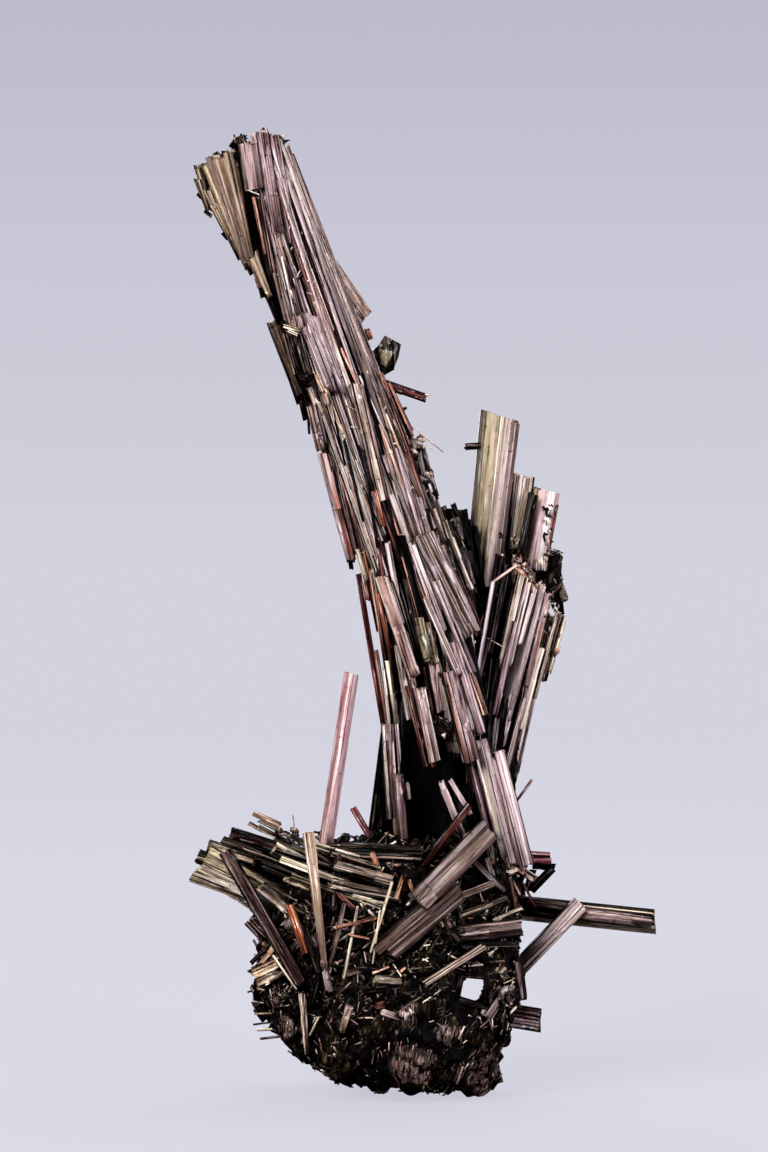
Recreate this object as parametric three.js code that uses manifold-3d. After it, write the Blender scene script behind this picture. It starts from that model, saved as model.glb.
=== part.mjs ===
// A schorl specimen: a leaning bundle of parallel tourmaline crystals, a smaller group of prisms beside
// it, and a ragged foot of matrix that holds crystals lying in every direction.
// Millimetres, +Z up, the front faces -Y. The origin is the centre of the flat break it stands on.
import * as THREE from 'three';
import { mergeVertices } from 'three/addons/utils/BufferGeometryUtils.js';
import Module from 'manifold-3d';

const wasm = await Module();
wasm.setup();

// Driving dimensions.
const specimenHeight = 97;
const footHeight = 24;
const columnBase = 22.4; // the column's root, inside the foot
const seatGap = 0.35; // clearance that a seat keeps all round the crystal lying in it
const prismFlats = 9; // a tourmaline prism is a triangle whose sides bulge
const prismBulge = 0.13;
const lathChamfer = 0.22; // share of a lath's thickness taken off each corner
const breakSlope = 0.35; // steepness of a crystal's broken end
const blockSide = 80; // a cutting block, wider than the specimen

// Colours.
const mauve = { color: 0x7a6a70, roughness: 0.3 };
const dark = { color: 0x2a2224, roughness: 0.25 };
const champagne = { color: 0x8f8263, roughness: 0.35 };
const rust = { color: 0x8a3a26, roughness: 0.2 };
const orange = { color: 0xb0704a, roughness: 0.25 };
const rose = { color: 0xa0606a, roughness: 0.2 };
const rock = { color: 0x29241f, roughness: 0.8 };

const specimen = new THREE.Group();

// ---- Shapes ---------------------------------------------------------------------------------------------

// Repeatable random numbers between 0 and 1.
function randomSource(seed) {
  let state = seed;
  return function next() {
    state = (state * 1664525 + 1013904223) % 4294967296;
    return state / 4294967296;
  };
}

function between(random, [low, high]) {
  return low + (high - low) * random();
}

function prismSection(width, depth) {
  const points = [];
  for (let i = 0; i < prismFlats; i += 1) {
    const angle = (i / prismFlats) * 2 * Math.PI - Math.PI / 2;
    const reach = 1 + prismBulge * Math.cos(3 * angle - Math.PI / 2);
    const x = (width / 2) * reach * Math.cos(angle);
    const y = (depth / 2) * reach * Math.sin(angle);
    points.push(new THREE.Vector2(x, y));
  }
  return new THREE.Shape(points);
}

function lathSection(width, depth) {
  const x = width / 2;
  const y = depth / 2;
  const c = lathChamfer * Math.min(width, depth);
  return new THREE.Shape([
    new THREE.Vector2(c - x, -y), new THREE.Vector2(x - c, -y), new THREE.Vector2(x, c - y),
    new THREE.Vector2(x, y - c), new THREE.Vector2(x - c, y), new THREE.Vector2(c - x, y),
    new THREE.Vector2(-x, y - c), new THREE.Vector2(-x, c - y),
  ]);
}

// A straight crystal from one point to another. Its section's width lies across the view from the front,
// its ends are broken on a slant, and it narrows to `taper` of its section at the far end.
function crystalGeometry({ from, to, width, depth, kind = 'lath', taper = 1, slant = breakSlope, grow = 0 }) {
  const start = new THREE.Vector3(...from);
  const end = new THREE.Vector3(...to);
  const along = end.clone().sub(start).normalize();
  start.addScaledVector(along, -grow);
  end.addScaledVector(along, grow);
  const length = start.distanceTo(end);
  const section = kind === 'prism' ? prismSection : lathSection;
  const shape = section(width + 2 * grow, (depth ?? width) + 2 * grow);
  const geometry = new THREE.ExtrudeGeometry(shape, { depth: length, bevelEnabled: false });
  const position = geometry.getAttribute('position');
  for (let i = 0; i < position.count; i += 1) {
    const share = position.getZ(i) / length;
    const scale = 1 + (taper - 1) * share;
    const lift = slant * position.getX(i) * (share - 0.5);
    position.setXYZ(i, position.getX(i) * scale, position.getY(i) * scale, position.getZ(i) + lift);
  }
  const across = new THREE.Vector3(0, -1, 0).cross(along).normalize();
  const facing = along.clone().cross(across);
  const turn = new THREE.Matrix4().makeBasis(across, facing, along).setPosition(start);
  return geometry.applyMatrix4(turn);
}

// ---- Solids ---------------------------------------------------------------------------------------------

function toSolid(geometry) {
  const bare = geometry.clone();
  bare.deleteAttribute('normal');
  bare.deleteAttribute('uv');
  const merged = mergeVertices(bare, 1e-4);
  const vertProperties = new Float32Array(merged.getAttribute('position').array);
  const triVerts = new Uint32Array(merged.index.array);
  return new wasm.Manifold(new wasm.Mesh({ numProp: 3, vertProperties, triVerts }));
}

function toGeometry(solid) {
  const mesh = solid.getMesh();
  const geometry = new THREE.BufferGeometry();
  geometry.setAttribute('position', new THREE.BufferAttribute(new Float32Array(mesh.vertProperties), 3));
  geometry.setIndex(Array.from(mesh.triVerts));
  geometry.computeVertexNormals();
  return geometry;
}

function joinAll(geometries) {
  return geometries.map(toSolid).reduce((whole, next) => whole.add(next));
}

// Cut a seat with clearance for each crystal that lies in the solid, and keep the one body that is left.
function seatAll(solid, crystals) {
  const cut = crystals.reduce(
    (left, crystal) => left.subtract(toSolid(crystalGeometry({ ...crystal, grow: seatGap }))),
    solid,
  );
  const bodies = cut.decompose();
  return bodies.reduce((largest, body) => (body.volume() > largest.volume() ? body : largest));
}

// Everything below a height, ready to be cut away.
function blockBelow(height) {
  const block = new THREE.BoxGeometry(blockSide, blockSide, blockSide);
  return toSolid(block.translate(0, 0, height - blockSide / 2));
}

function addMesh(name, geometry, look) {
  const mesh = new THREE.Mesh(geometry, new THREE.MeshStandardMaterial({ ...look, metalness: 0 }));
  mesh.name = name;
  specimen.add(mesh);
}

// ---- Tall bundle: separate crystals ---------------------------------------------------------------------

const bundleCrystals = [
  { name: 'top_facet', from: [-14.4, -2.6, 95.9], to: [-12.5, -3.1, 89.6], width: 2.8, depth: 1.6,
    look: mauve },
  { name: 'side_slab', from: [-13.2, -1.2, 77.6], to: [-10.3, -1.2, 70.1], width: 1.0, depth: 2.4,
    look: dark },
  { name: 'centre_band', from: [-10.0, -4.4, 78.6], to: [-6.2, -4.9, 69.8], width: 2.5, depth: 1.4,
    look: mauve },
  { name: 'brown_lath', from: [-4.4, -4.7, 71.4], to: [-1.7, -4.9, 59.6], width: 1.4, depth: 1.3,
    look: champagne },
  { name: 'scratched_lath', from: [2.2, -4.6, 56.6], to: [7.2, -4.4, 46.3], width: 2.1, depth: 1.5,
    look: mauve },
  { name: 'orange_lath', from: [-1.9, -5.0, 52.4], to: [1.5, -5.3, 42.2], width: 1.4, depth: 1.4,
    look: orange },
  { name: 'edge_lath_high', from: [-9.1, -2.4, 69.3], to: [-8.0, -2.5, 64.6], width: 1.1, depth: 1.9,
    look: mauve },
  { name: 'edge_lath_low', from: [-7.8, -3.0, 63.8], to: [-5.5, -3.2, 53.6], width: 1.1, depth: 1.6,
    look: dark },
  { name: 'foot_lath_left', from: [1.9, -5.5, 41.4], to: [3.5, -5.7, 33.8], width: 1.5, depth: 1.5,
    look: rust },
  { name: 'foot_lath_right', from: [4.7, -5.0, 43.0], to: [7.0, -5.1, 33.8], width: 1.7, depth: 1.5,
    look: mauve },
  { name: 'lower_lath_left', from: [-1.3, -3.4, 37.6], to: [-0.7, -3.6, 28.0], width: 1.2, depth: 1.4,
    look: mauve },
  { name: 'lower_lath_right', from: [-0.3, -5.2, 32.8], to: [0.3, -5.4, 26.0], width: 1.2, depth: 1.2,
    look: dark },
  { name: 'splinter', from: [-7.3, 1.4, 84.2], to: [-3.3, 1.8, 78.2], width: 1.4, depth: 1.5, look: rust },
  { name: 'green_chip', from: [-1.4, 1.6, 76.2], to: [-1.8, 1.8, 72.4], width: 2.3, depth: 2.2,
    kind: 'prism', taper: 0.6, look: dark },
  { name: 'red_needle', from: [-1.9, -0.6, 71.7], to: [2.7, -1.0, 70.1], width: 0.8, look: rust },
  { name: 'left_rod', from: [-4.2, 2.6, 52.4], to: [-1.6, 2.4, 36.6], width: 0.6, look: rust },
  { name: 'back_crystal', from: [-1.0, 3.8, 36.2], to: [-2.4, 4.0, 25.2], width: 1.9, kind: 'prism',
    look: dark },
];

const yellowPair = [
  { from: [1.9, -5.4, 48.3], to: [2.9, -5.6, 43.8], width: 0.9, depth: 1.0 },
  { from: [2.6, -5.2, 47.8], to: [3.6, -5.4, 43.4], width: 0.9, depth: 1.0 },
];

const shardLaths = [
  { from: [-19.8, -0.2, 92.2], to: [-15.0, -0.2, 82.8], width: 1.3, depth: 3.0, taper: 0.7 },
  { from: [-19.0, -0.4, 93.7], to: [-14.6, -0.4, 82.0], width: 1.4, depth: 3.4, taper: 0.7 },
  { from: [-17.9, -0.3, 94.4], to: [-13.9, -0.3, 80.8], width: 1.4, depth: 3.4, taper: 0.6 },
  { from: [-17.0, -0.2, 94.7], to: [-12.9, -0.2, 79.2], width: 1.2, depth: 2.8, taper: 0.5 },
];

// ---- Tall bundle: the fused column ----------------------------------------------------------------------

// The bundle's middle line from foot to top, as places (height, across, half width, half depth).
const bundleStations = [
  [22, 3.4, 3.3, 3.4], [30, 3.5, 3.9, 4.0], [40, 3.1, 4.5, 4.4], [48, 1.8, 4.8, 4.5], [57, -1.1, 4.7, 4.4],
  [66, -3.8, 4.7, 4.2], [74, -6.9, 3.9, 3.6], [83, -9.7, 3.0, 3.2], [92, -12.4, 2.5, 2.6],
  [specimenHeight - 0.5, -13.3, 2.1, 2.2],
];

function bundleAt(height) {
  const last = bundleStations.length - 2;
  let i = 0;
  while (i < last && height > bundleStations[i + 1][0]) i += 1;
  const low = bundleStations[i];
  const high = bundleStations[i + 1];
  const share = (height - low[0]) / (high[0] - low[0]);
  return low.map((value, k) => value + (high[k] - value) * share);
}

function bundlePoint(height, across, back) {
  const [, middle, halfWidth, halfDepth] = bundleAt(height);
  return [middle + across * halfWidth, back * halfDepth, height];
}

// A many-sided skin through the stations, at a share of their half sizes: the solid middle that the outer
// laths are grown on to.
const heartSides = 14;

function bundleHeart(fill) {
  const rings = bundleStations.map(([height]) => {
    const ring = [];
    for (let i = 0; i < heartSides; i += 1) {
      const angle = (i / heartSides) * 2 * Math.PI;
      ring.push(bundlePoint(height, fill * Math.cos(angle), fill * Math.sin(angle)));
    }
    return ring;
  });
  return skinGeometry(rings);
}

// A closed skin over a stack of rings with the same number of points, each running anticlockwise from above.
function skinGeometry(rings) {
  const sides = rings[0].length;
  const points = rings.flat();
  const middleOf = (ring) => [0, 1, 2].map((k) => ring.reduce((sum, point) => sum + point[k], 0) / sides);
  const bottom = points.push(middleOf(rings[0])) - 1;
  const top = points.push(middleOf(rings.at(-1))) - 1;
  const index = [];
  for (let i = 0; i < sides; i += 1) {
    const next = (i + 1) % sides;
    for (let level = 0; level < rings.length - 1; level += 1) {
      const low = level * sides;
      const high = low + sides;
      index.push(low + i, low + next, high + next, low + i, high + next, high + i);
    }
    const rim = (rings.length - 1) * sides;
    index.push(bottom, next, i, top, rim + i, rim + next);
  }
  const geometry = new THREE.BufferGeometry();
  geometry.setAttribute('position', new THREE.Float32BufferAttribute(points.flat(), 3));
  geometry.setIndex(index);
  return geometry;
}

// Laths standing round the heart in three storeys, low to high, whose ends are staggered.
const lathRing = { count: 13, across: 0.78, back: 0.76, width: [1.5, 2.1], depth: [1.6, 2.1] };
const storeys = [
  { bottom: [columnBase, 31], top: [43, 52] },
  { bottom: [44, 53], top: [67, 76] },
  { bottom: [66, 75], top: [specimenHeight - 3.5, specimenHeight - 1] },
];

function columnLaths() {
  const random = randomSource(11);
  const laths = [];
  storeys.forEach(({ bottom, top }, storey) => {
    for (let i = 0; i < lathRing.count; i += 1) {
      const angle = ((i + 0.5 * storey) / lathRing.count) * 2 * Math.PI;
      const across = lathRing.across * Math.cos(angle);
      const back = lathRing.back * Math.sin(angle);
      laths.push({
        from: bundlePoint(between(random, top), across, back),
        to: bundlePoint(between(random, bottom), across, back),
        width: between(random, lathRing.width),
        depth: between(random, lathRing.depth),
      });
    }
  });
  return laths;
}

// ---- Right-hand group -----------------------------------------------------------------------------------

const rightCrystals = [
  { name: 'tall_prism', from: [10.1, 4.0, 68.6], to: [8.2, 3.8, 50.4], width: 3.7, depth: 3.4,
    kind: 'prism', taper: 0.85, slant: -0.2, look: champagne },
  { name: 'curved_prism', from: [12.6, 6.0, 61.8], to: [11.2, 6.0, 50.5], width: 1.9, depth: 2.4,
    look: mauve },
  { name: 'third_prism', from: [15.0, 5.4, 60.3], to: [13.6, 5.2, 52.4], width: 2.0, depth: 2.4,
    look: rose },
  { name: 'bright_rod', from: [9.9, 0.9, 54.4], to: [7.7, 0.7, 40.4], width: 1.3, depth: 1.2, look: dark },
  { name: 'yellow_prism', from: [12.4, 2.0, 52.2], to: [10.2, 1.6, 42.6], width: 1.5, depth: 1.6,
    look: champagne },
  { name: 'pink_prism', from: [13.9, 3.8, 51.4], to: [9.6, 3.2, 34.8], width: 1.9, depth: 2.0,
    look: mauve },
  { name: 'outer_prism', from: [14.9, 6.0, 48.2], to: [11.2, 5.6, 31.8], width: 1.7, depth: 2.0,
    look: dark },
  { name: 'brown_prism', from: [16.4, 4.2, 48.2], to: [14.5, 4.0, 41.2], width: 1.0, depth: 1.4,
    look: rust },
  { name: 'sub_column_left', from: [7.9, -2.6, 36.0], to: [11.0, -3.2, 23.4], width: 1.4, depth: 1.7,
    look: mauve },
  { name: 'sub_column_right', from: [9.8, -2.2, 34.9], to: [12.8, -2.8, 23.2], width: 1.2, depth: 1.7,
    look: rose },
];

// Dark rock and broken crystal between the prisms, from beside the third prism down behind the column and
// into the foot.
const sideMatrixLumps = [
  { from: [15.4, 6.8, 54.2], to: [15.2, 6.6, 49.2], width: 2.0, depth: 3.2, kind: 'prism' },
  { from: [13.4, 7.2, 55.0], to: [12.6, 7.0, 44.0], width: 3.6, depth: 3.4, kind: 'prism' },
  { from: [10.2, 5.8, 54.0], to: [9.0, 5.0, 38.0], width: 4.0, depth: 4.4, kind: 'prism' },
  { from: [11.6, 6.2, 47.0], to: [9.4, 3.4, 22.0], width: 3.4, depth: 4.0, kind: 'prism' },
  { from: [6.8, 4.2, 50.0], to: [6.8, 3.0, 28.0], width: 3.2, depth: 3.6, kind: 'prism' },
];

// ---- Foot -----------------------------------------------------------------------------------------------

const footCrystals = [
  { name: 'slab_upper', from: [8.8, -8.6, 27.5], to: [1.6, -12.0, 20.5], width: 2.4, depth: 1.7,
    look: mauve },
  { name: 'slab_lower', from: [6.2, -8.4, 22.2], to: [-2.2, -10.5, 15.2], width: 2.8, depth: 1.8,
    look: mauve },
  { name: 'long_rod', from: [7.6, 2.4, 19.2], to: [25.7, 1.6, 17.4], width: 1.8, depth: 1.9,
    look: champagne },
  { name: 'crossing_rod', from: [18.1, -0.6, 19.3], to: [11.4, -0.8, 12.4], width: 1.4, depth: 1.3,
    look: mauve },
  { name: 'red_prism', from: [10.6, 0.8, 24.0], to: [15.3, 0.6, 23.7], width: 1.2, depth: 1.4, look: rust },
  { name: 'end_stub', from: [9.8, -2.6, 8.4], to: [14.0, -2.8, 7.7], width: 1.9, depth: 2.2, look: dark },
  { name: 'pale_prism', from: [10.8, -6.0, 12.5], to: [8.1, -7.8, 8.8], width: 1.3, look: champagne },
  { name: 'dark_lath', from: [4.6, -9.8, 17.2], to: [12.0, -6.2, 17.6], width: 1.9, depth: 1.6,
    look: dark },
  { name: 'tan_rod', from: [8.3, -10.4, 16.2], to: [2.3, -11.4, 12.5], width: 0.75, look: champagne },
  { name: 'fan_prism', from: [-19.6, -3.2, 23.2], to: [-12.4, -3.6, 19.3], width: 3.3, depth: 2.6,
    kind: 'prism', taper: 0.6, look: champagne },
  { name: 'pale_blade', from: [-14.0, -5.8, 21.7], to: [-10.7, -6.6, 19.2], width: 1.3, depth: 0.9,
    look: champagne },
  { name: 'dark_upper', from: [-17.2, -1.0, 26.3], to: [-9.0, -2.0, 23.8], width: 1.6, depth: 1.8,
    look: rust },
  { name: 'dark_rod', from: [-17.4, -5.7, 25.2], to: [-9.6, -9.4, 12.2], width: 1.35, depth: 1.5,
    look: dark },
  { name: 'yellow_blade_a', from: [-12.5, -4.2, 25.4], to: [-8.4, -5.6, 23.1], width: 1.7, depth: 1.0,
    look: champagne },
  { name: 'yellow_blade_b', from: [-6.5, -7.6, 23.9], to: [-0.6, -8.6, 22.4], width: 1.0, depth: 1.0,
    look: champagne },
  { name: 'yellow_blade_c', from: [-6.9, -8.6, 22.2], to: [0.3, -9.6, 20.8], width: 1.2, depth: 1.0,
    look: champagne },
  { name: 'olive_crystal', from: [-7.0, -5.6, 25.2], to: [2.4, -7.0, 25.0], width: 1.5, depth: 1.5,
    look: dark },
  { name: 'pink_rod', from: [-4.8, -2.2, 42.3], to: [-7.6, -2.4, 21.6], width: 1.25, look: rose },
  { name: 'small_pink_rod', from: [-4.8, -1.6, 29.2], to: [-2.5, -1.8, 25.3], width: 0.65, look: rose },
  { name: 'orange_blade', from: [-9.0, -8.6, 27.4], to: [-7.4, -10.7, 14.0], width: 1.25, depth: 0.9,
    taper: 0.6, look: orange },
  { name: 'orange_rod', from: [-11.0, -8.5, 20.2], to: [-9.3, -10.0, 15.4], width: 0.9, look: orange },
  { name: 'orange_twin', from: [-10.3, -7.3, 19.8], to: [-7.2, -9.3, 11.6], width: 0.8, look: rust },
  { name: 'tan_blade', from: [-9.6, -9.0, 11.6], to: [-9.2, -9.6, 5.4], width: 0.9, depth: 0.8, taper: 0.5,
    look: orange },
  { name: 'brown_needle', from: [6.9, -6.6, 29.9], to: [2.1, -8.0, 23.6], width: 0.7, look: orange },
  { name: 'tan_chunk', from: [-14.6, -5.2, 12.4], to: [-11.6, -6.6, 14.0], width: 2.2, depth: 2.0,
    look: orange },
];

// The mat's outline in levels (height, left, right, front, back).
const matLevels = [
  [0, -5.2, 9.2, -3.2, 6.4], [1.6, -7.2, 9.8, -7.2, 7.6], [4.2, -10.6, 10.2, -9.4, 9.0],
  [7.2, -13.8, 11.6, -10.6, 10.0], [11, -14.3, 12.1, -10.9, 10.4], [15, -14.2, 11.9, -10.7, 10.2],
  [18.6, -13.6, 12.2, -10.2, 9.6], [21.6, -12.2, 12.2, -9.2, 8.6], [footHeight, -9.4, 11.8, -7.6, 7.0],
  [footHeight + 2.4, -2.4, 10.6, -5.8, 5.0],
];
const matSides = 20;
const matRoughness = 0.15; // share of its reach by which a point of the skin may stand in or out
const matUnevenness = 0.8; // rise and fall of a level, in all
const matSquareness = 0.8; // 1 would be an ellipse, less is fuller at the corners

function matSkin() {
  const random = randomSource(5);
  const rings = matLevels.map(([height, left, right, front, back], level) => {
    const ring = [];
    const isBreak = level === 0;
    for (let i = 0; i < matSides; i += 1) {
      const angle = (i / matSides) * 2 * Math.PI;
      const reach = 1 + (isBreak ? matRoughness / 4 : matRoughness) * (random() - 0.5);
      const x = Math.sign(Math.cos(angle)) * Math.abs(Math.cos(angle)) ** matSquareness * reach;
      const y = Math.sign(Math.sin(angle)) * Math.abs(Math.sin(angle)) ** matSquareness * reach;
      ring.push([
        (left + right) / 2 + (x * (right - left)) / 2,
        (front + back) / 2 + (y * (back - front)) / 2,
        height + (isBreak ? 0 : matUnevenness * (random() - 0.5)),
      ]);
    }
    return ring;
  });
  return skinGeometry(rings);
}

// Small crystals grown into the mat all round, each poking out of it at a random lean.
const needle = { count: 20, height: [8, 22], rootRing: [7, 6.6], reach: [4, 6.5], width: [1.1, 2.1] };
const needleLean = { across: [-0.4, 0.4], up: [-0.2, 0.7] };
const needleDepth = [0.9, 1.7];
const matMiddle = -1.2;
const needleClearance = 2; // no tip comes nearer the break than this

function matNeedles() {
  const random = randomSource(23);
  const needles = [];
  for (let i = 0; i < needle.count; i += 1) {
    const angle = (i / needle.count) * 2 * Math.PI;
    const root = [
      matMiddle + needle.rootRing[0] * Math.cos(angle),
      needle.rootRing[1] * Math.sin(angle),
      between(random, needle.height),
    ];
    const reach = between(random, needle.reach);
    const tip = [
      root[0] + reach * (Math.cos(angle) + between(random, needleLean.across)),
      root[1] + reach * (Math.sin(angle) + between(random, needleLean.across)),
      Math.max(root[2] + reach * between(random, needleLean.up), needleClearance),
    ];
    needles.push({ from: tip, to: root, width: between(random, needle.width),
      depth: between(random, needleDepth) });
  }
  return needles;
}

// The window through the right side of the mat.
const windowCut = { from: [7.1, -14, 11.0], to: [7.3, 14, 11.2], width: 2.0, depth: 2.3, slant: 0 };

// ---- Assembly -------------------------------------------------------------------------------------------

const looseCrystals = [...bundleCrystals, ...rightCrystals, ...footCrystals];
looseCrystals.forEach((crystal) => addMesh(crystal.name, crystalGeometry(crystal), crystal.look));

addMesh('yellow_pair', toGeometry(joinAll(yellowPair.map(crystalGeometry))), champagne);
addMesh('top_shard', toGeometry(joinAll(shardLaths.map(crystalGeometry))), champagne);

const seated = [...looseCrystals, ...yellowPair, ...shardLaths];
const columnBlank = joinAll([bundleHeart(0.8), ...columnLaths().map(crystalGeometry)]);
addMesh('column', toGeometry(seatAll(columnBlank.subtract(blockBelow(columnBase)), seated)), mauve);

const columnRoom = toSolid(bundleHeart(1.22));
const sideBlank = joinAll(sideMatrixLumps.map(crystalGeometry)).subtract(columnRoom);
addMesh('side_matrix', toGeometry(seatAll(sideBlank, seated)), rock);

const matBlank = joinAll([matSkin(), ...matNeedles().map(crystalGeometry)])
  .subtract(blockBelow(0))
  .subtract(toSolid(crystalGeometry(windowCut)))
  .subtract(columnRoom);
addMesh('matrix', toGeometry(seatAll(matBlank, [...seated, ...sideMatrixLumps])), rock);

export default specimen;
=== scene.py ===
import math
import bmesh
import bpy
import numpy as np
from mathutils.bvhtree import BVHTree
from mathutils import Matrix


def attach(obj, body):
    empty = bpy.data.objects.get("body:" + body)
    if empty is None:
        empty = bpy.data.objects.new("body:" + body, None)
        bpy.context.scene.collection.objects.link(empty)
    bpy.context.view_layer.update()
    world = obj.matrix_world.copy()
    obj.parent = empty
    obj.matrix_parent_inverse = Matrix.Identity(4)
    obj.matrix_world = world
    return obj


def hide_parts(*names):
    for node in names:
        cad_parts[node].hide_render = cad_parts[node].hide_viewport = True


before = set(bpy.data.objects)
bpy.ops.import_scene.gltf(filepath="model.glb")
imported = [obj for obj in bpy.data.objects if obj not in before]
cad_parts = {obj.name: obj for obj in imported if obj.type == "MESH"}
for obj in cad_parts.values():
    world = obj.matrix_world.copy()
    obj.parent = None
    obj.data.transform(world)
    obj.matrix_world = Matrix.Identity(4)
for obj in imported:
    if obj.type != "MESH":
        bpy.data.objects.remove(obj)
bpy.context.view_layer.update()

# Shapes are worked out in millimetres and become metres when a mesh is made; the stage and lamps are in
# metres from the start.
mm = 0.001
up = np.array([0.0, 0.0, 1.0])
front = np.array([0.0, -1.0, 0.0])


def unit(v):
    # each vector over its own length
    return v / np.maximum(np.linalg.norm(v, axis=-1, keepdims=True), 1e-9)


def linearColour(hexText):
    # sRGB hex to the linear values that a shader takes
    parts = np.array([int(hexText[i:i + 2], 16) / 255 for i in (1, 3, 5)])
    return (*np.where(parts <= 0.04045, parts / 12.92, ((parts + 0.055) / 1.055) ** 2.4), 1.0)


def addNode(tree, kind, inputs=None, **settings):
    # one shader node: plain settings by name, and its inputs as values or as another node's output
    node = tree.nodes.new(kind)
    for name, value in settings.items():
        setattr(node, name, value)
    for name, value in (inputs or {}).items():
        if isinstance(value, bpy.types.NodeSocket):
            tree.links.new(value, node.inputs[name])
        else:
            node.inputs[name].default_value = value
    return node


def addRamp(tree, factor, stops):
    # a colour ramp through (place, hex) stops
    ramp = addNode(tree, "ShaderNodeValToRGB", {"Fac": factor})
    marks = ramp.color_ramp.elements
    while len(marks) < len(stops):
        marks.new(0.5)
    for mark, (place, hexText) in zip(marks, stops):
        mark.position = place
        mark.color = linearColour(hexText)
    return ramp.outputs["Color"]


# every maker below returns points and lists of faces with their grain UVs and marks, and makePiece joins
# what several makers returned
made = []     # the pieces so far, onto which loose chips are seated


def makePiece(name, parts, material, standsFor=()):
    # one mesh, in metres, with its grain UVs in millimetres and each face's tone, hue and rust as the
    # attribute called facet; the piece rides on the body and stands in for the CAD nodes named
    points, loops, starts, sizes, uvs, facets = [], [], [], [], [], []
    pointCount = loopCount = 0
    for part in parts:
        points.append(part["points"])
        for corners, uv, facet in part["faces"]:
            side = corners.shape[1]
            loops.append((corners + pointCount).ravel())
            starts.append(loopCount + side * np.arange(len(corners)))
            sizes.append(np.full(len(corners), side))
            uvs.append(uv.reshape(-1, 2))
            facets.append(facet)
            loopCount += corners.size
        pointCount += len(part["points"])
    points, loops, uvs, facets = (np.concatenate(a) for a in (points, loops, uvs, facets))
    starts, sizes = np.concatenate(starts), np.concatenate(sizes)
    mesh = bpy.data.meshes.new(name)
    mesh.vertices.add(len(points))
    mesh.vertices.foreach_set("co", (points * mm).astype(np.float32).ravel())
    mesh.loops.add(len(loops))
    mesh.loops.foreach_set("vertex_index", loops.astype(np.int32))
    mesh.polygons.add(len(starts))
    mesh.polygons.foreach_set("loop_start", starts.astype(np.int32))
    mesh.polygons.foreach_set("loop_total", sizes.astype(np.int32))
    grain = mesh.uv_layers.new(name="grain")
    grain.data.foreach_set("uv", uvs.astype(np.float32).ravel())
    facet = mesh.attributes.new("facet", "FLOAT_VECTOR", "FACE")
    facet.data.foreach_set("vector", facets.astype(np.float32).ravel())
    mesh.update(calc_edges=True)
    mesh.validate()
    mesh.materials.append(material)
    piece = bpy.data.objects.new(name, mesh)
    bpy.context.scene.collection.objects.link(piece)
    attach(piece, "root")
    if standsFor:
        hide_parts(*standsFor)
    made.append(piece)


# how schorl grows and breaks: lengths are in millimetres, the rest are shares, tones and spreads
habit = {
    "sectionPlaces": 361,
    "bluntness": 0.16,       # of a lath's four corners: 0 is sharp and 1 is round
    "threeCorners": 0.12,    # how far a prism's three corners are pulled out
    "facetSpread": 0.6,      # of the facets' widths, as a lognormal's deviation
    "glintShare": 0.12,      # of facets, which are narrow and bright
    "glintTone": 0.14,
    "narrow": 0.36,          # a groove's or a glint's width against a common facet's
    "stepShare": 0.3,        # of facets that drop by a step from one stretch to the next
    "stepLip": 0.02,         # length of the slope at a step
    "stepShade": 0.15,
    "gapShade": 0.22,        # how much darker the slit between two facets is
    "rimShare": 0.42,        # facets farther from the middle than this share of the width are the rim
    "rimChance": 0.75,       # that a rim is painted darker, as painted shade
    "hueSpread": 0.12,
    "rustSpread": 0.1,
    "rustEdge": 0.6,         # rust added to a facet that passes light at a thin edge
}


def sectionCurve(width, depth, kind):
    # a closed section: a lath is a superellipse, nearly a rectangle with blunt corners, and a prism is an
    # ellipse pulled out to the three blunt corners that tourmaline has
    angle = np.linspace(0, 2 * np.pi, habit["sectionPlaces"])
    c, s = np.cos(angle), np.sin(angle)
    if kind == "prism":
        reach = 1 + habit["threeCorners"] * np.cos(3 * (angle + np.pi / 2))
        return width / 2 * reach * c, depth / 2 * reach * s
    blunt = habit["bluntness"]
    return width / 2 * np.sign(c) * np.abs(c) ** blunt, depth / 2 * np.sign(s) * np.abs(s) ** blunt


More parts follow.
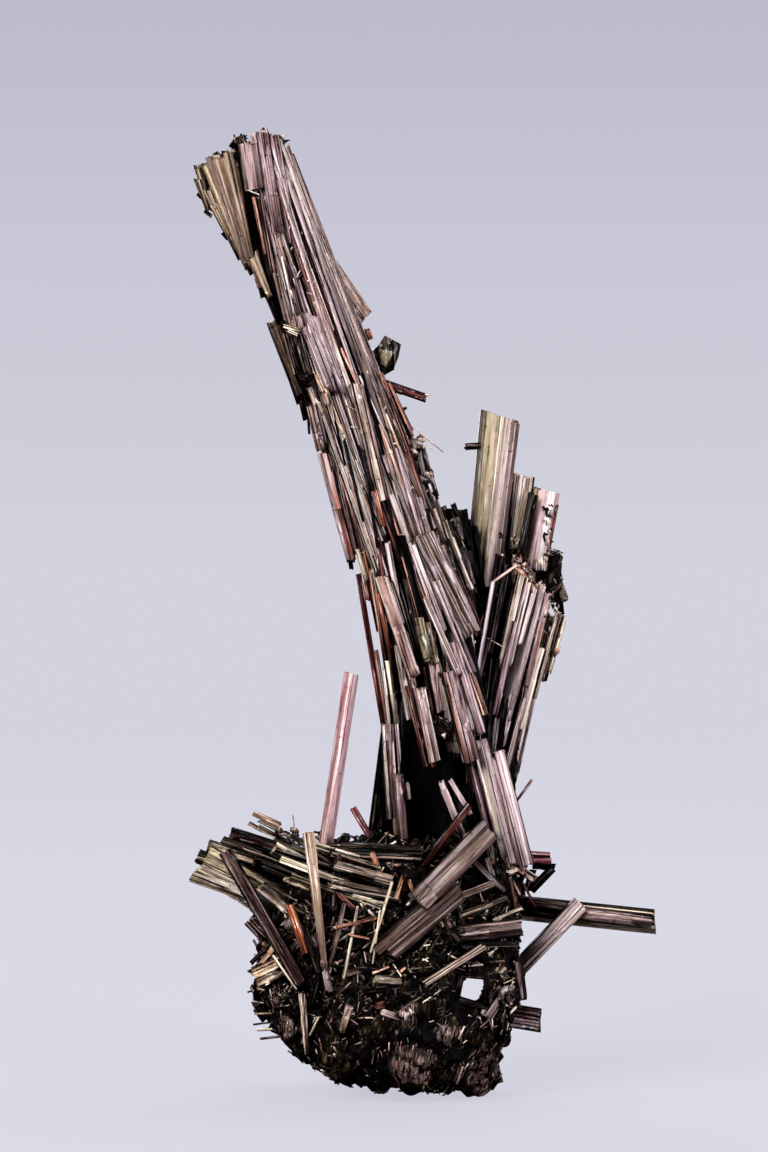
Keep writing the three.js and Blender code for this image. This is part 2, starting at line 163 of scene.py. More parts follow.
def crystal(start, end, width, depth, seed, facing=front, kind="lath", taper=1.0, facetSize=0.22,
            relief=0.05, groove=0.25, steps=3, stepDepth=0.07, ragged=0.3, slant=0.2,
            tilt=0.16, tone=0.55, spread=0.12, hue=0.2, hueRight=None, rust=0.1, edgeDark=0.8,
            edgeRust=0.0):
    # A striated crystal from start to end. Its section is cut into facets of uneven width, each sunk and
    # leaning by its own small amount, and carried along in stretches on which facets rise and fall by a
    # step, as overlapping plates do. Each facet breaks off at its own place at both ends. The broad side
    # looks in the direction of facing, and hueRight is the hue at the right edge where it isn't hue.
    rng = np.random.default_rng(seed)
    start, end = np.asarray(start, float), np.asarray(end, float)
    length = np.linalg.norm(end - start)
    along = unit(end - start)
    across = unit(np.cross(facing, along))
    facing = np.cross(along, across)

    # the section's corners: two for each facet
    curveX, curveY = sectionCurve(width, depth, kind)
    arc = np.concatenate([[0], np.cumsum(np.hypot(np.diff(curveX), np.diff(curveY)))])
    perimeter = arc[-1]
    count = max(6, round(perimeter / facetSize))
    wide = rng.lognormal(0, habit["facetSpread"], count)
    cut = rng.random(count) < groove
    glint = ~cut & (rng.random(count) < habit["glintShare"])
    wide = np.where(cut | glint, np.minimum(wide, 1) * habit["narrow"], wide)
    edges = np.concatenate([[0], np.cumsum(wide)]) / wide.sum() * perimeter
    spots = np.stack([edges[:-1], edges[1:]], 1).ravel()
    x, y = np.interp(spots, arc, curveX), np.interp(spots, arc, curveY)

    # how deep each facet lies on each stretch, and where the stretches change over
    thin = min(width, depth)
    relief, stepDepth = min(relief, 0.12 * thin), min(stepDepth, 0.16 * thin)     # thin crystals stay whole
    sunk = relief * rng.random(count) + cut * rng.uniform(0.6, 1.3, count) * stepDepth
    stretchSunk = sunk + stepDepth * (rng.random((steps + 1, count)) < habit["stepShare"])
    turns = np.sort(rng.uniform(0.08, 0.92, steps))
    lip = min(habit["stepLip"] / length, 0.01)
    rings = np.concatenate([[0], np.stack([turns - lip, turns + lip], 1).ravel(), [1]])
    stretch = np.repeat(np.arange(steps + 1), 2)
    inset = np.repeat(stretchSunk[stretch], 2, axis=1)
    lean = np.clip(rng.normal(0, tilt, count), -2 * tilt, 2 * tilt) * np.diff(edges) / 2
    inset = inset + np.stack([lean, -lean], 1).ravel()
    scale = 1 + (taper - 1) * rings[:, None]
    shrink = (1 - inset / np.hypot(x, y)) * scale
    localX, localY = x * shrink, y * shrink

    # broken ends: facets go in blocks of one to four, and the break slants across the width
    away = np.repeat(rings[:, None] * length, 2 * count, axis=1)
    blocks = np.repeat(rng.random(count), rng.integers(1, 5, count))[:count]
    otherBlocks = np.repeat(rng.random(count), rng.integers(1, 5, count))[:count]
    raggedNow = min(ragged, 0.25 * length)
    away[0] += raggedNow * np.repeat(blocks, 2) + slant * (x + width / 2) * 0.5
    away[-1] -= raggedNow * np.repeat(otherBlocks, 2) + slant * (x + width / 2) * 0.5
    points = (start + away[..., None] * along + localX[..., None] * across
              + localY[..., None] * facing)
    ringCount, pointCount = away.shape
    body = points.reshape(-1, 3)
    capLow = points[0].mean(0) - 0.1 * raggedNow * along
    capHigh = points[-1].mean(0) + 0.1 * raggedNow * along
    grid = np.arange(ringCount * pointCount).reshape(ringCount, pointCount)
    after = np.roll(grid, -1, axis=1)
    quads = np.stack([grid[:-1], after[:-1], after[1:], grid[1:]], -1).reshape(-1, 4)
    offset = rng.uniform(0, 200, 2)     # so that no two crystals share a pattern
    spotsNext = np.roll(spots, -1)
    spotsNext[-1] = perimeter
    u0, u1 = (np.broadcast_to(a, (ringCount - 1, pointCount)) for a in (spots, spotsNext))
    quadUv = np.stack([np.stack([u0, away[:-1]], -1), np.stack([u1, away[:-1]], -1),
                       np.stack([u1, away[1:]], -1), np.stack([u0, away[1:]], -1)], -2) + offset

    # the marks on each face: tone, hue and rust; grooves and the rims on one side or both are painted dark as
    # painted shade
    facetTone = tone + spread * rng.normal(0, 1, count) + habit["glintTone"] * glint
    middleX = 0.5 * (x[::2] + x[1::2])
    rim = np.abs(middleX) > habit["rimShare"] * width
    shaded = np.where(middleX < 0, *(rng.random(2) < habit["rimChance"])) & rim
    edgeDark *= min(1, max(0.2, (width - 0.4) / 0.6))     # thin crystals get less painted shade on their rims
    # painted shade: grooves go nearly black and the shaded rims darker
    facetTone = facetTone * (1 - 0.95 * cut) * (1 - edgeDark * shaded * ~cut)
    tones = facetTone + 0.4 * spread * rng.normal(0, 1, (steps + 1, count))
    rightShare = 0.5 + x[::2] / width     # as seen with the broad face in front
    hues = hue + (hueRight - hue) * rightShare if hueRight is not None else hue
    hues = np.clip(hues + habit["hueSpread"] * rng.normal(0, 1, count), 0, 1)
    rusts = rust + habit["rustSpread"] * rng.normal(0, 1, count)
    rusts = np.clip(rusts + habit["rustEdge"] * (rng.random(count) < edgeRust), 0, 1)
    gapStretch = np.minimum(np.arange(ringCount - 1) // 2 + np.arange(ringCount - 1) % 2, steps)
    quadTone = np.repeat(tones[gapStretch], 2, axis=1)
    quadTone[:, 1::2] -= habit["gapShade"]
    quadTone[1::2] -= habit["stepShade"]
    facet = np.stack([quadTone, np.broadcast_to(np.repeat(hues, 2), quadTone.shape),
                      np.broadcast_to(np.repeat(rusts, 2), quadTone.shape)], -1).reshape(-1, 3)

    # the two ends are closed by fans
    low, high = len(body), len(body) + 1
    lowFan = np.stack([np.full(pointCount, low), after[0], grid[0]], -1)
    highFan = np.stack([np.full(pointCount, high), grid[-1], after[-1]], -1)
    fans = np.concatenate([lowFan, highFan])
    flat = np.concatenate([np.stack([localX, localY], -1).reshape(-1, 2), np.zeros((2, 2))])
    fanFacet = np.tile([tone - 0.1, hue, rust], (len(fans), 1))
    fanFacet[:, 0] += 0.15 * rng.normal(0, 1, len(fans))
    return {"points": np.concatenate([body, [capLow, capHigh]]),
            "faces": [(quads, quadUv.reshape(-1, 4, 2), facet), (fans, flat[fans] + offset, fanFacet)]}


def needles(starts, ends, widths, depths, facets, seed, sides=6):
    # many plain prisms at once: a polygon with so many sides at both ends of each line, and two fans
    rng = np.random.default_rng(seed)
    count = len(starts)
    along = unit(ends - starts)
    helper = np.where(np.abs(along[:, 2:]) > 0.9, [[1.0, 0, 0]], [[0, 0, 1.0]])
    across = unit(np.cross(helper, along))
    facing = np.cross(along, across)
    angle = 2 * np.pi * (np.arange(sides) / sides + rng.random((count, 1)))
    ring = (np.cos(angle)[..., None] * across[:, None] * widths[:, None, None] / 2
            + np.sin(angle)[..., None] * facing[:, None] * depths[:, None, None] / 2)
    low = starts[:, None] + ring
    high = ends[:, None] + ring * 0.9     # a little thinner at the far end
    points = np.concatenate([low, high, starts[:, None], ends[:, None]], 1)
    base = (np.arange(count) * (2 * sides + 2))[:, None]
    i = np.arange(sides)
    j = (i + 1) % sides
    quads = np.stack([base + i, base + j, base + sides + j, base + sides + i], -1).reshape(-1, 4)
    lowFan = np.stack([base + 2 * sides + 0 * i, base + j, base + i], -1)
    highFan = np.stack([base + 2 * sides + 1 + 0 * i, base + sides + i, base + sides + j], -1)
    fans = np.concatenate([lowFan, highFan], 1).reshape(-1, 3)
    length = np.linalg.norm(ends - starts, axis=1)
    offset = rng.uniform(0, 200, (count, 1, 1, 2))
    u = (i * 0.5 * widths[:, None])
    v0, v1 = np.zeros_like(u), np.broadcast_to(length[:, None], u.shape)
    w = 0.5 * widths[:, None]
    quadUv = np.stack([np.stack([u, v0], -1), np.stack([u + w, v0], -1), np.stack([u + w, v1], -1),
                       np.stack([u, v1], -1)], -2) + offset
    fanUv = np.zeros((count, 2 * sides, 3, 2)) + offset
    fanUv[..., 1, 0] += 0.1
    fanUv[..., 2, 1] += 0.1
    sideFacet = np.repeat(facets, sides, axis=0)
    sideFacet[:, 0] += 0.12 * rng.normal(0, 1, len(sideFacet))
    return {"points": points.reshape(-1, 3),
            "faces": [(quads, quadUv.reshape(-1, 4, 2), sideFacet),
                      (fans, fanUv.reshape(-1, 3, 2), np.repeat(facets, 2 * sides, axis=0))]}


def hullShape(seed, corners=9):
    # an angular chunk: the convex hull of points thrown on and just inside a ball
    rng = np.random.default_rng(seed)
    draft = bmesh.new()
    for point in unit(rng.normal(0, 1, (corners, 3))) * rng.uniform(0.75, 1, (corners, 1)):
        draft.verts.new(point)
    bmesh.ops.convex_hull(draft, input=draft.verts)
    bmesh.ops.delete(draft, geom=[v for v in draft.verts if not v.link_faces], context="VERTS")
    bmesh.ops.triangulate(draft, faces=draft.faces)
    bmesh.ops.recalc_face_normals(draft, faces=draft.faces)
    draft.verts.index_update()
    points = np.array([v.co[:] for v in draft.verts])
    corners = np.array([[v.index for v in face.verts] for face in draft.faces])
    draft.free()
    return points, corners


def chunks(places, ways, sizes, facets, seed, corners=9):
    # angular chunks: five hull shapes, each stretched to a chunk's width, depth and length, with the length
    # along the chunk's own way
    rng = np.random.default_rng(seed)
    along = unit(ways)
    across = unit(np.cross(along, unit(rng.normal(0, 1, along.shape))))
    facing = np.cross(along, across)
    points, faces, marks = [], [], []
    total, kinds = 0, 5
    for kind in range(kinds):
        shape, shapeFaces = hullShape(seed + kind, corners)
        mine = np.arange(kind, len(places), kinds)
        frames = np.stack([across[mine], facing[mine], along[mine]], 1) * sizes[mine][..., None] / 2
        moved = places[mine][:, None] + np.einsum("pk,nkx->npx", shape, frames)
        mineFaces = shapeFaces + np.arange(len(mine))[:, None, None] * len(shape)
        points.append(moved.reshape(-1, 3))
        faces.append(mineFaces.reshape(-1, 3) + total)
        total += len(mine) * len(shape)
        marks.append(np.repeat(facets[mine], len(shapeFaces), axis=0))
    points, faces, marks = np.concatenate(points), np.concatenate(faces), np.concatenate(marks)
    marks[:, 0] += 0.14 * rng.normal(0, 1, len(marks))
    return {"points": points, "faces": [(faces, points[faces][..., ::2], marks)]}


def nodePoints(node):
    # a CAD node's own vertices, in millimetres
    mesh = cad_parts[node].data
    flat = np.empty(3 * len(mesh.vertices), np.float32)
    mesh.vertices.foreach_get("co", flat)
    return np.unique(np.round(flat.reshape(-1, 3) / mm, 4), axis=0)


def nodeLine(node):
    # the straight line, width, depth and taper of a CAD prism: its long axis by principal directions,
    # its two ends as the halves of its points on either side of the middle, the upper end first
    points = nodePoints(node)
    middle = points.mean(0)
    axis = np.linalg.svd(points - middle, full_matrices=False)[2][0]
    axis = axis if axis[2] < 0 else -axis
    if abs(axis[2]) < 0.5:
        axis = axis if axis[0] > 0 else -axis
    place = (points - middle) @ axis
    first, second = points[place < 0], points[place > 0]
    across = unit(np.cross(front, axis))
    facing = np.cross(axis, across)
    sizes = [[np.ptp(half @ across), np.ptp(half @ facing)] for half in (first, second)]
    return {"start": first.mean(0), "end": second.mean(0), "width": sizes[0][0], "depth": sizes[0][1],
            "taper": sizes[1][0] / sizes[0][0]}


def newMaterial(name):
    # an empty material and its node tree
    material = bpy.data.materials.new(name)
    material.use_nodes = True
    material.node_tree.nodes.clear()
    return material, material.node_tree


# the colours of crystals at tones from 0, deep in a crack, to 1, on a lit edge
rampPlaces = (0, 0.22, 0.42, 0.62, 0.82, 1)
rampColours = {
    "mauve": ("#020101", "#200f0d", "#5a3f3e", "#8f787c", "#ae9aa0", "#d4c6c5"),
    "champagne": ("#020201", "#130f09", "#4a402b", "#8b7d61", "#b5a888", "#e2d8ba"),
    "rust": ("#030101", "#1b0805", "#521e12", "#8c4227", "#bb7750", "#e6bf98"),
    "rose": ("#050202", "#220b0f", "#7a3440", "#a8696f", "#c99b9a", "#ecd6d0"),
}
# the common finish; the other finishes below name only what they change
schorlFinish = {
    "plain": "mauve",       # the ramp of an untinted crystal
    "glow": 0.0,            # share of light that passes through
    "roughness": 0.3,
    "shine": 0.45,          # gloss of the light parts; cracks have almost none
    "fineDepth": 0.92,      # contrast of the finest striations
    "lines": 0.5,           # depth of the dark lines between striations
    "linesPerMm": 4.8,
    "lineShare": 0.41,      # how readily a dark line opens
    "flecks": 0.13,         # strength of small bright and dark flecks
}


def striatedSchorl(name, **changes):
    # Black tourmaline as it grows: vitreous prisms, combed lengthwise by striations 0.1 to 0.4 mm apart,
    # which break the gloss into fine bright and dark lines. Thin edges pass brown, red or yellow light.
    finish = schorlFinish | changes
    material, tree = newMaterial(name)
    facet = addNode(tree, "ShaderNodeAttribute", attribute_name="facet")
    share = addNode(tree, "ShaderNodeSeparateXYZ", {"Vector": facet.outputs["Vector"]})
    grain = addNode(tree, "ShaderNodeUVMap", uv_map="grain").outputs["UV"]
    # each layer of noise: repeats per millimetre across and along the crystal, detail and roughness
    layers = {"fine": (7.0, 0.22, 3.0, 0.6), "broad": (1.8, 0.12, 2.0, 0.5), "crack": (0.7, 1.6, 4.0, 0.7),
              "line": (finish["linesPerMm"], 0.11, 2.0, 0.55), "fleck": (3.8, 0.8, 3.0, 0.65)}
    reading = {}
    for layer, (across, along, detail, rough) in layers.items():
        place = addNode(tree, "ShaderNodeMapping", {"Vector": grain, "Scale": (across, along, 1)}).outputs[0]
        noise = addNode(tree, "ShaderNodeTexNoise", {"Vector": place, "Scale": 1.0, "Detail": detail,
                                                     "Roughness": rough}, noise_dimensions="2D")
        reading[layer] = noise.outputs["Fac"]
    # what the layers add to the facet's own tone: a reading from low to high adds this much to this much
    fine, flecks, opening = finish["fineDepth"] / 2, finish["flecks"], finish["lineShare"]
    additions = [("fine", 0, 1, -fine, fine), ("fleck", 0.62, 0.67, 0, flecks),
                 ("fleck", 0.34, 0.39, -1.3 * flecks, 0), ("broad", 0, 1, -0.18, 0.18),
                 ("line", opening - 0.07, opening, -finish["lines"], 0), ("crack", 0.66, 0.74, 0, -0.35)]
    tone = share.outputs["X"]
    for layer, low, high, atLow, atHigh in additions:
        added = addNode(tree, "ShaderNodeMapRange", {"Value": reading[layer], "From Min": low,
                                                     "From Max": high, "To Min": atLow, "To Max": atHigh})
        tone = addNode(tree, "ShaderNodeMath", {0: tone, 1: added.outputs[0]}, operation="ADD").outputs[0]
    tone.node.use_clamp = True     # the sum is held between 0 and 1
    plain, champagne, rust = (addRamp(tree, tone, list(zip(rampPlaces, rampColours[key])))
                              for key in (finish["plain"], "champagne", "rust"))
    twoColours = addNode(tree, "ShaderNodeMix", {"Factor": share.outputs["Y"], "A": plain,
                                                 "B": champagne}, data_type="RGBA")
    colour = addNode(tree, "ShaderNodeMix", {"Factor": share.outputs["Z"]}, data_type="RGBA")
    tree.links.new(twoColours.outputs["Result"], colour.inputs["A"])
    tree.links.new(rust, colour.inputs["B"])
    rough = addNode(tree, "ShaderNodeMapRange", {"Value": reading["fine"], "From Min": 0.3, "From Max": 0.7,
                                                 "To Min": finish["roughness"] - 0.08,
                                                 "To Max": finish["roughness"] + 0.14})
    bump = addNode(tree, "ShaderNodeBump", {"Height": reading["fine"], "Strength": 0.5,
                                            "Distance": 0.04 * mm})
    gloss = addNode(tree, "ShaderNodeMapRange", {"Value": tone, "From Min": 0.04, "From Max": 0.4,
                                                 "To Min": 0.02, "To Max": finish["shine"]})
    shader = addNode(tree, "ShaderNodeBsdfPrincipled",
                     {"Base Color": colour.outputs["Result"], "Roughness": rough.outputs["Result"],
                      "Normal": bump.outputs["Normal"], "IOR": 1.64, "Transmission Weight": finish["glow"],
                      "Specular IOR Level": gloss.outputs["Result"]})
    addNode(tree, "ShaderNodeOutputMaterial", {"Surface": shader.outputs["BSDF"]})
    return material


# what the streaks of the bare rock, of its weathered parts and of its fibrous patches show
rockRamps = {
    "dark": [(0.42, "#010101"), (0.58, "#030202"), (0.68, "#120d0b"), (0.8, "#5a4c42")],
    "ochre": [(0.38, "#020201"), (0.52, "#17110a"), (0.62, "#463b23"), (0.78, "#8c7c55")],
    "pale": [(0.34, "#180f0d"), (0.46, "#4b3a35"), (0.58, "#7c675f"), (0.74, "#a89589")],
}


def mattedRock(name):
    # The dark rock that the needles are matted into: broken schist full of hair-fine schorl, dull and nearly
    # black, with ochre and olive weathering and mauve-grey fibrous patches a millimetre or two across.
    material, tree = newMaterial(name)
    place = addNode(tree, "ShaderNodeTexCoord").outputs["Object"]
    # each layer of noise: repeats per millimetre along x and y, then along z, detail, roughness, distortion
    layers = {"streak": (2.6, 0.62, 4.0, 0.65, 0.0), "patch": (0.42, 0.42, 3.0, 0.5, 0.0),
              "fibre": (0.33, 0.33, 3.0, 0.5, 0.4)}
    reading = {}
    for layer, (level, upright, detail, rough, bent) in layers.items():
        scale = (level / mm, level / mm, upright / mm)
        spot = addNode(tree, "ShaderNodeMapping", {"Vector": place, "Scale": scale}).outputs[0]
        noise = addNode(tree, "ShaderNodeTexNoise", {"Vector": spot, "Scale": 1.0, "Detail": detail,
                                                     "Roughness": rough, "Distortion": bent})
        reading[layer] = noise.outputs["Fac"]
    facet = addNode(tree, "ShaderNodeAttribute", attribute_name="facet")
    share = addNode(tree, "ShaderNodeSeparateXYZ", {"Vector": facet.outputs["Vector"]})
    dark, ochre, pale = (addRamp(tree, reading["streak"], stops) for stops in rockRamps.values())
    ochreLevel = addNode(tree, "ShaderNodeMath", {0: share.outputs["Y"], 1: 0.1, 2: reading["patch"]},
                         operation="MULTIPLY_ADD")
    ochreShare = addNode(tree, "ShaderNodeMapRange", {"Value": ochreLevel.outputs[0], "From Min": 0.53,
                                                      "From Max": 0.68, "To Max": 0.85})
    fibreLevel = addNode(tree, "ShaderNodeMath", {0: share.outputs["X"], 1: reading["fibre"]},
                         operation="MULTIPLY")
    paleShare = addNode(tree, "ShaderNodeMapRange", {"Value": fibreLevel.outputs[0], "From Min": 0.2,
                                                     "From Max": 0.42})
    twoColours = addNode(tree, "ShaderNodeMix", {"Factor": paleShare.outputs["Result"], "A": dark, "B": pale},
                         data_type="RGBA")
    colour = addNode(tree, "ShaderNodeMix", {"Factor": ochreShare.outputs["Result"]}, data_type="RGBA")
    tree.links.new(twoColours.outputs["Result"], colour.inputs["A"])
    tree.links.new(ochre, colour.inputs["B"])
    bump = addNode(tree, "ShaderNodeBump", {"Height": reading["streak"], "Strength": 0.8,
                                            "Distance": 0.3 * mm})
    shader = addNode(tree, "ShaderNodeBsdfPrincipled",
                     {"Base Color": colour.outputs["Result"], "Roughness": 0.6,
                      "Normal": bump.outputs["Normal"], "Specular IOR Level": 0.03})
    addNode(tree, "ShaderNodeOutputMaterial", {"Surface": shader.outputs["BSDF"]})
    return material


# common crystals: combed with sharp dark lines and bright glints, glossy
opaqueSchorl = striatedSchorl("striatedBlackSchorl")
# crystals packed side by side: softer striations, deeper dark lines and less gloss
fineSchorl = striatedSchorl("finelyStriatedSchorl", roughness=0.36, lines=0.55, linesPerMm=4.6, shine=0.35,
                            lineShare=0.44, flecks=0.2, fineDepth=0.62)
# broad faces that grew nearly plane: few lines and an even, silky gloss
smoothSchorl = striatedSchorl("smoothFacedSchorl", roughness=0.34, lines=0.3, linesPerMm=5.0, shine=0.35,
                              lineShare=0.38, fineDepth=0.42, flecks=0.1)
# slender crystals, which let rose and rust light through
clearSchorl = striatedSchorl("thinSchorlThatPassesLight", glow=0.3, roughness=0.18, plain="rose",
                             lines=0.25, flecks=0.1)
rock = mattedRock("mattedSchistAndNeedles")
print("materials made")


# The single crystals, one piece for each CAD node. tone is dark 0 to light 1, hue is mauve 0 to champagne 1,
# and rust is the share of rust red. A start, an end or a size given here stands in for the CAD node's own,
# and any other word is one of crystal's.
looks = {
    "top_facet": dict(tone=0.6, hue=0.3, rust=0.02, start=(-15.1, -2.5, 95.2), end=(-14.35, -2.9, 90.2),
        facing=(-0.2, -1, 0), width=1.9, depth=1, spread=0.03, facetSize=0.4, steps=0, tilt=0.03, groove=0,
        edgeDark=0.1),
    "side_slab": dict(tone=0.24, hue=0.6, rust=0.1),
    "centre_band": dict(tone=0.68, hue=0.05, rust=0.03, start=(-9.5, -3.9, 78.6), end=(-6, -4.5, 69.6),
        width=2, depth=0.8, spread=0.04, steps=1, facetSize=0.24, tilt=0.03, groove=0.1, ragged=2.4,
        edgeDark=0.2),
    "brown_lath": dict(tone=0.56, hue=0.5, rust=0.22, start=(-4.4, -4.4, 71.4), end=(-1.7, -4.8, 59.6),
        depth=1),
    "scratched_lath": dict(tone=0.52, hue=0.3, rust=0.06, facetSize=0.14),
    "orange_lath": dict(tone=0.62, hue=0.4, rust=0.22, edgeRust=0.15),
    "edge_lath_high": dict(tone=0.6, hue=0.3, rust=0.05, start=(-8.9, -2.5, 69.3), end=(-7.8, -2.8, 64.6),
        width=1),
    "edge_lath_low": dict(tone=0.5, hue=0.2, rust=0.12, edgeRust=0.2, start=(-7.8, -3, 64.6),
        end=(-4.8, -3.3, 53.6), width=1),
    "foot_lath_left": dict(tone=0.66, hue=0.3, rust=0.1, edgeRust=0.15, spread=0.08),
    "foot_lath_right": dict(tone=0.56, hue=0.1, rust=0.08, edgeRust=0.1),
    "lower_lath_left": dict(tone=0.6, hue=0.3, rust=0.1),
    "lower_lath_right": dict(tone=0.5, hue=0.2, rust=0.12, edgeRust=0.15),
    "splinter": dict(tone=0.7, hue=0.6, rust=0.36, start=(-7.7, 0.6, 84), end=(-3.3, 0.6, 77.6), width=1.8,
        groove=0.3, edgeDark=0.3, slant=0.5),
    "red_needle": dict(tone=0.34, hue=0.1, rust=0.6),
    "left_rod": dict(tone=0.42, hue=0, rust=0.5, width=0.65, depth=0.6),
    "back_crystal": dict(tone=0.05, hue=0, rust=0.05),
    "tall_prism": dict(tone=0.66, hue=0.95, hueRight=0.4, rust=0, spread=0.04, kind="prism", facetSize=0.36,
        steps=0, tilt=0.03, groove=0.14, slant=0.4, edgeDark=0.3),
    "curved_prism": dict(tone=0.79, hue=0.2, hueRight=0.7, rust=0.02, steps=1),
    "third_prism": dict(tone=0.82, hue=0, hueRight=0.2, rust=0, steps=0, facetSize=0.7, groove=0.08,
        spread=0.03, tilt=0.02, edgeDark=0.3),
    "bright_rod": dict(tone=0.14, hue=0.1, rust=0.02, width=0.7, steps=0, spread=0.1),
    "yellow_prism": dict(tone=0.85, hue=0.65, rust=0.02, steps=1, spread=0.16),
    "pink_prism": dict(tone=0.88, hue=0.1, rust=0.04, edgeRust=0.05, steps=2, facetSize=0.2),
    "outer_prism": dict(tone=0.87, hue=0.25, rust=0.03, edgeRust=0.08, steps=1, spread=0.14),
    "brown_prism": dict(tone=0.5, hue=0.6, rust=0.25),
    "sub_column_left": dict(tone=0.88, hue=0.2, rust=0.05, steps=1, facetSize=0.2, groove=0.18, spread=0.06,
        edgeDark=0.4),
    "sub_column_right": dict(tone=0.77, hue=0.15, rust=0.1, steps=1),
    "slab_upper": dict(tone=0.45, hue=0.5, rust=0.05, facetSize=0.26, steps=1, spread=0.05, tilt=0.03,
        groove=0.12, edgeDark=0.5),
    "slab_lower": dict(tone=0.36, hue=0.6, rust=0.08, facetSize=0.28, steps=0, spread=0.05, tilt=0.03,
        groove=0.1, ragged=1, edgeDark=0.5),
    "long_rod": dict(tone=0.5, hue=0.6, rust=0.03, steps=0, facetSize=0.4, spread=0.14, tilt=0.05),
    "crossing_rod": dict(tone=0.66, hue=0.3, rust=0.03, steps=0, facetSize=0.4, spread=0.06, groove=0.1),
    "red_prism": dict(tone=0.5, hue=0, rust=0.4),
    "end_stub": dict(tone=0.3, hue=0.1, rust=0.05),
    "pale_prism": dict(tone=0.66, hue=0.5, rust=0.03, spread=0.06, groove=0.1, steps=1),
    "dark_lath": dict(tone=0.3, hue=0.4, rust=0.12),
    "tan_rod": dict(tone=0.66, hue=0.55, rust=0.06, steps=0, spread=0.05, groove=0.08),
    "fan_prism": dict(tone=0.62, hue=0.85, rust=0.04, taper=0.5, steps=1, spread=0.08, tilt=0.06,
        facetSize=0.22, ragged=0.9, edgeDark=0.3),
    "pale_blade": dict(tone=0.6, hue=0.7, rust=0.05),
    "dark_upper": dict(tone=0.16, hue=0.2, rust=0.4),
    "dark_rod": dict(tone=0.28, hue=0.35, rust=0.1, steps=1, facetSize=0.25, spread=0.05, groove=0.1),
    "yellow_blade_a": dict(tone=0.6, hue=0.8, rust=0.04),
    "yellow_blade_b": dict(tone=0.6, hue=0.8, rust=0.04),
    "yellow_blade_c": dict(tone=0.55, hue=0.85, rust=0.04),
    "olive_crystal": dict(tone=0.3, hue=0.9, rust=0.05),
    "pink_rod": dict(tone=0.82, hue=0, rust=0, steps=0, facetSize=0.3, spread=0.08, groove=0.1),
    "small_pink_rod": dict(tone=0.6, hue=0, rust=0.15, steps=0),
    "orange_blade": dict(tone=0.74, hue=0.8, rust=0.22, steps=0, facetSize=0.5, spread=0.04, groove=0.05,
        taper=0.5),
    "orange_rod": dict(tone=0.8, hue=0.2, rust=0.95, steps=0, facetSize=0.5, spread=0.05, groove=0.04,
        kind="prism"),
    "orange_twin": dict(tone=0.16, hue=0.4, rust=0.4),
    "tan_blade": dict(tone=0.56, hue=0.7, rust=0.2),
    "brown_needle": dict(tone=0.36, hue=0.4, rust=0.7, steps=0),
    "tan_chunk": dict(tone=0.72, hue=0.9, rust=0.35, ragged=1.2, facetSize=0.18, spread=0.2, groove=0.3),
}
# the nodes with a finish of their own; the others have the common one, opaqueSchorl
finishes = [
    (clearSchorl, ["pink_rod", "small_pink_rod", "red_needle", "red_prism", "orange_rod", "left_rod",
                   "orange_blade", "brown_needle"]),
    (fineSchorl, ["centre_band", "fan_prism"]),
    (smoothSchorl, ["top_facet", "slab_upper", "slab_lower", "tall_prism", "curved_prism", "third_prism",
                    "sub_column_left", "sub_column_right"]),
]
finishOf = {node: finish for finish, nodes in finishes for node in nodes}
# how far a crystal's two ends are shifted from where they would lie, and how much wider it is
moves = {
    "tall_prism": ((0.05, 0, 0), (0, 0, 0), 0.35),
    "curved_prism": ((0, 0, 0.5), (0, 0, 0), 0.3),
    "third_prism": ((0.1, 0, 0.4), (0, 0, 0), 0.4),
    "pink_rod": ((0, 0, 0.3), (-0.35, 0, 0), 0.2),
    "long_rod": ((0, 0, -0.2), (0.2, 0, -0.2), 0.6),
    "crossing_rod": ((0.1, 0, 0.1), (0.1, 0, 0), 0.3),
    "end_stub": ((0, 0, 0.1), (0.2, 0, 0.1), 0.35),
    "side_slab": ((0.3, 0, 0), (0.3, 0, 0), 0),
    "red_needle": ((0, 0, -0.3), (0, 0, -0.3), 0.1),
    "slab_upper": ((0, 0.6, 0), (0, 0.6, 0), 0),
    "brown_prism": ((-0.2, 0.2, 0), (-0.2, 0.2, 0), 0),
    "orange_rod": ((0.1, 0.3, -0.1), (0.1, 0.3, -0.1), 0),
    "tan_rod": ((0, 0.4, 0), (0, 0.4, 0), 0),
    "fan_prism": ((-0.5, 0, 0.6), (1.6, -0.3, 0.1), 1),
}

for order, (node, look) in enumerate(looks.items()):
    line = nodeLine(node)
    startBy, endBy, wider = moves.get(node, ((0, 0, 0), (0, 0, 0), 0))
    line |= {"start": line["start"] + startBy, "end": line["end"] + endBy, "width": line["width"] + wider}
    part = crystal(**(line | look), seed=100 + order)
    makePiece(node + "_crystal", [part], finishOf.get(node, opaqueSchorl), [node])
print("single crystals made:", len(looks))


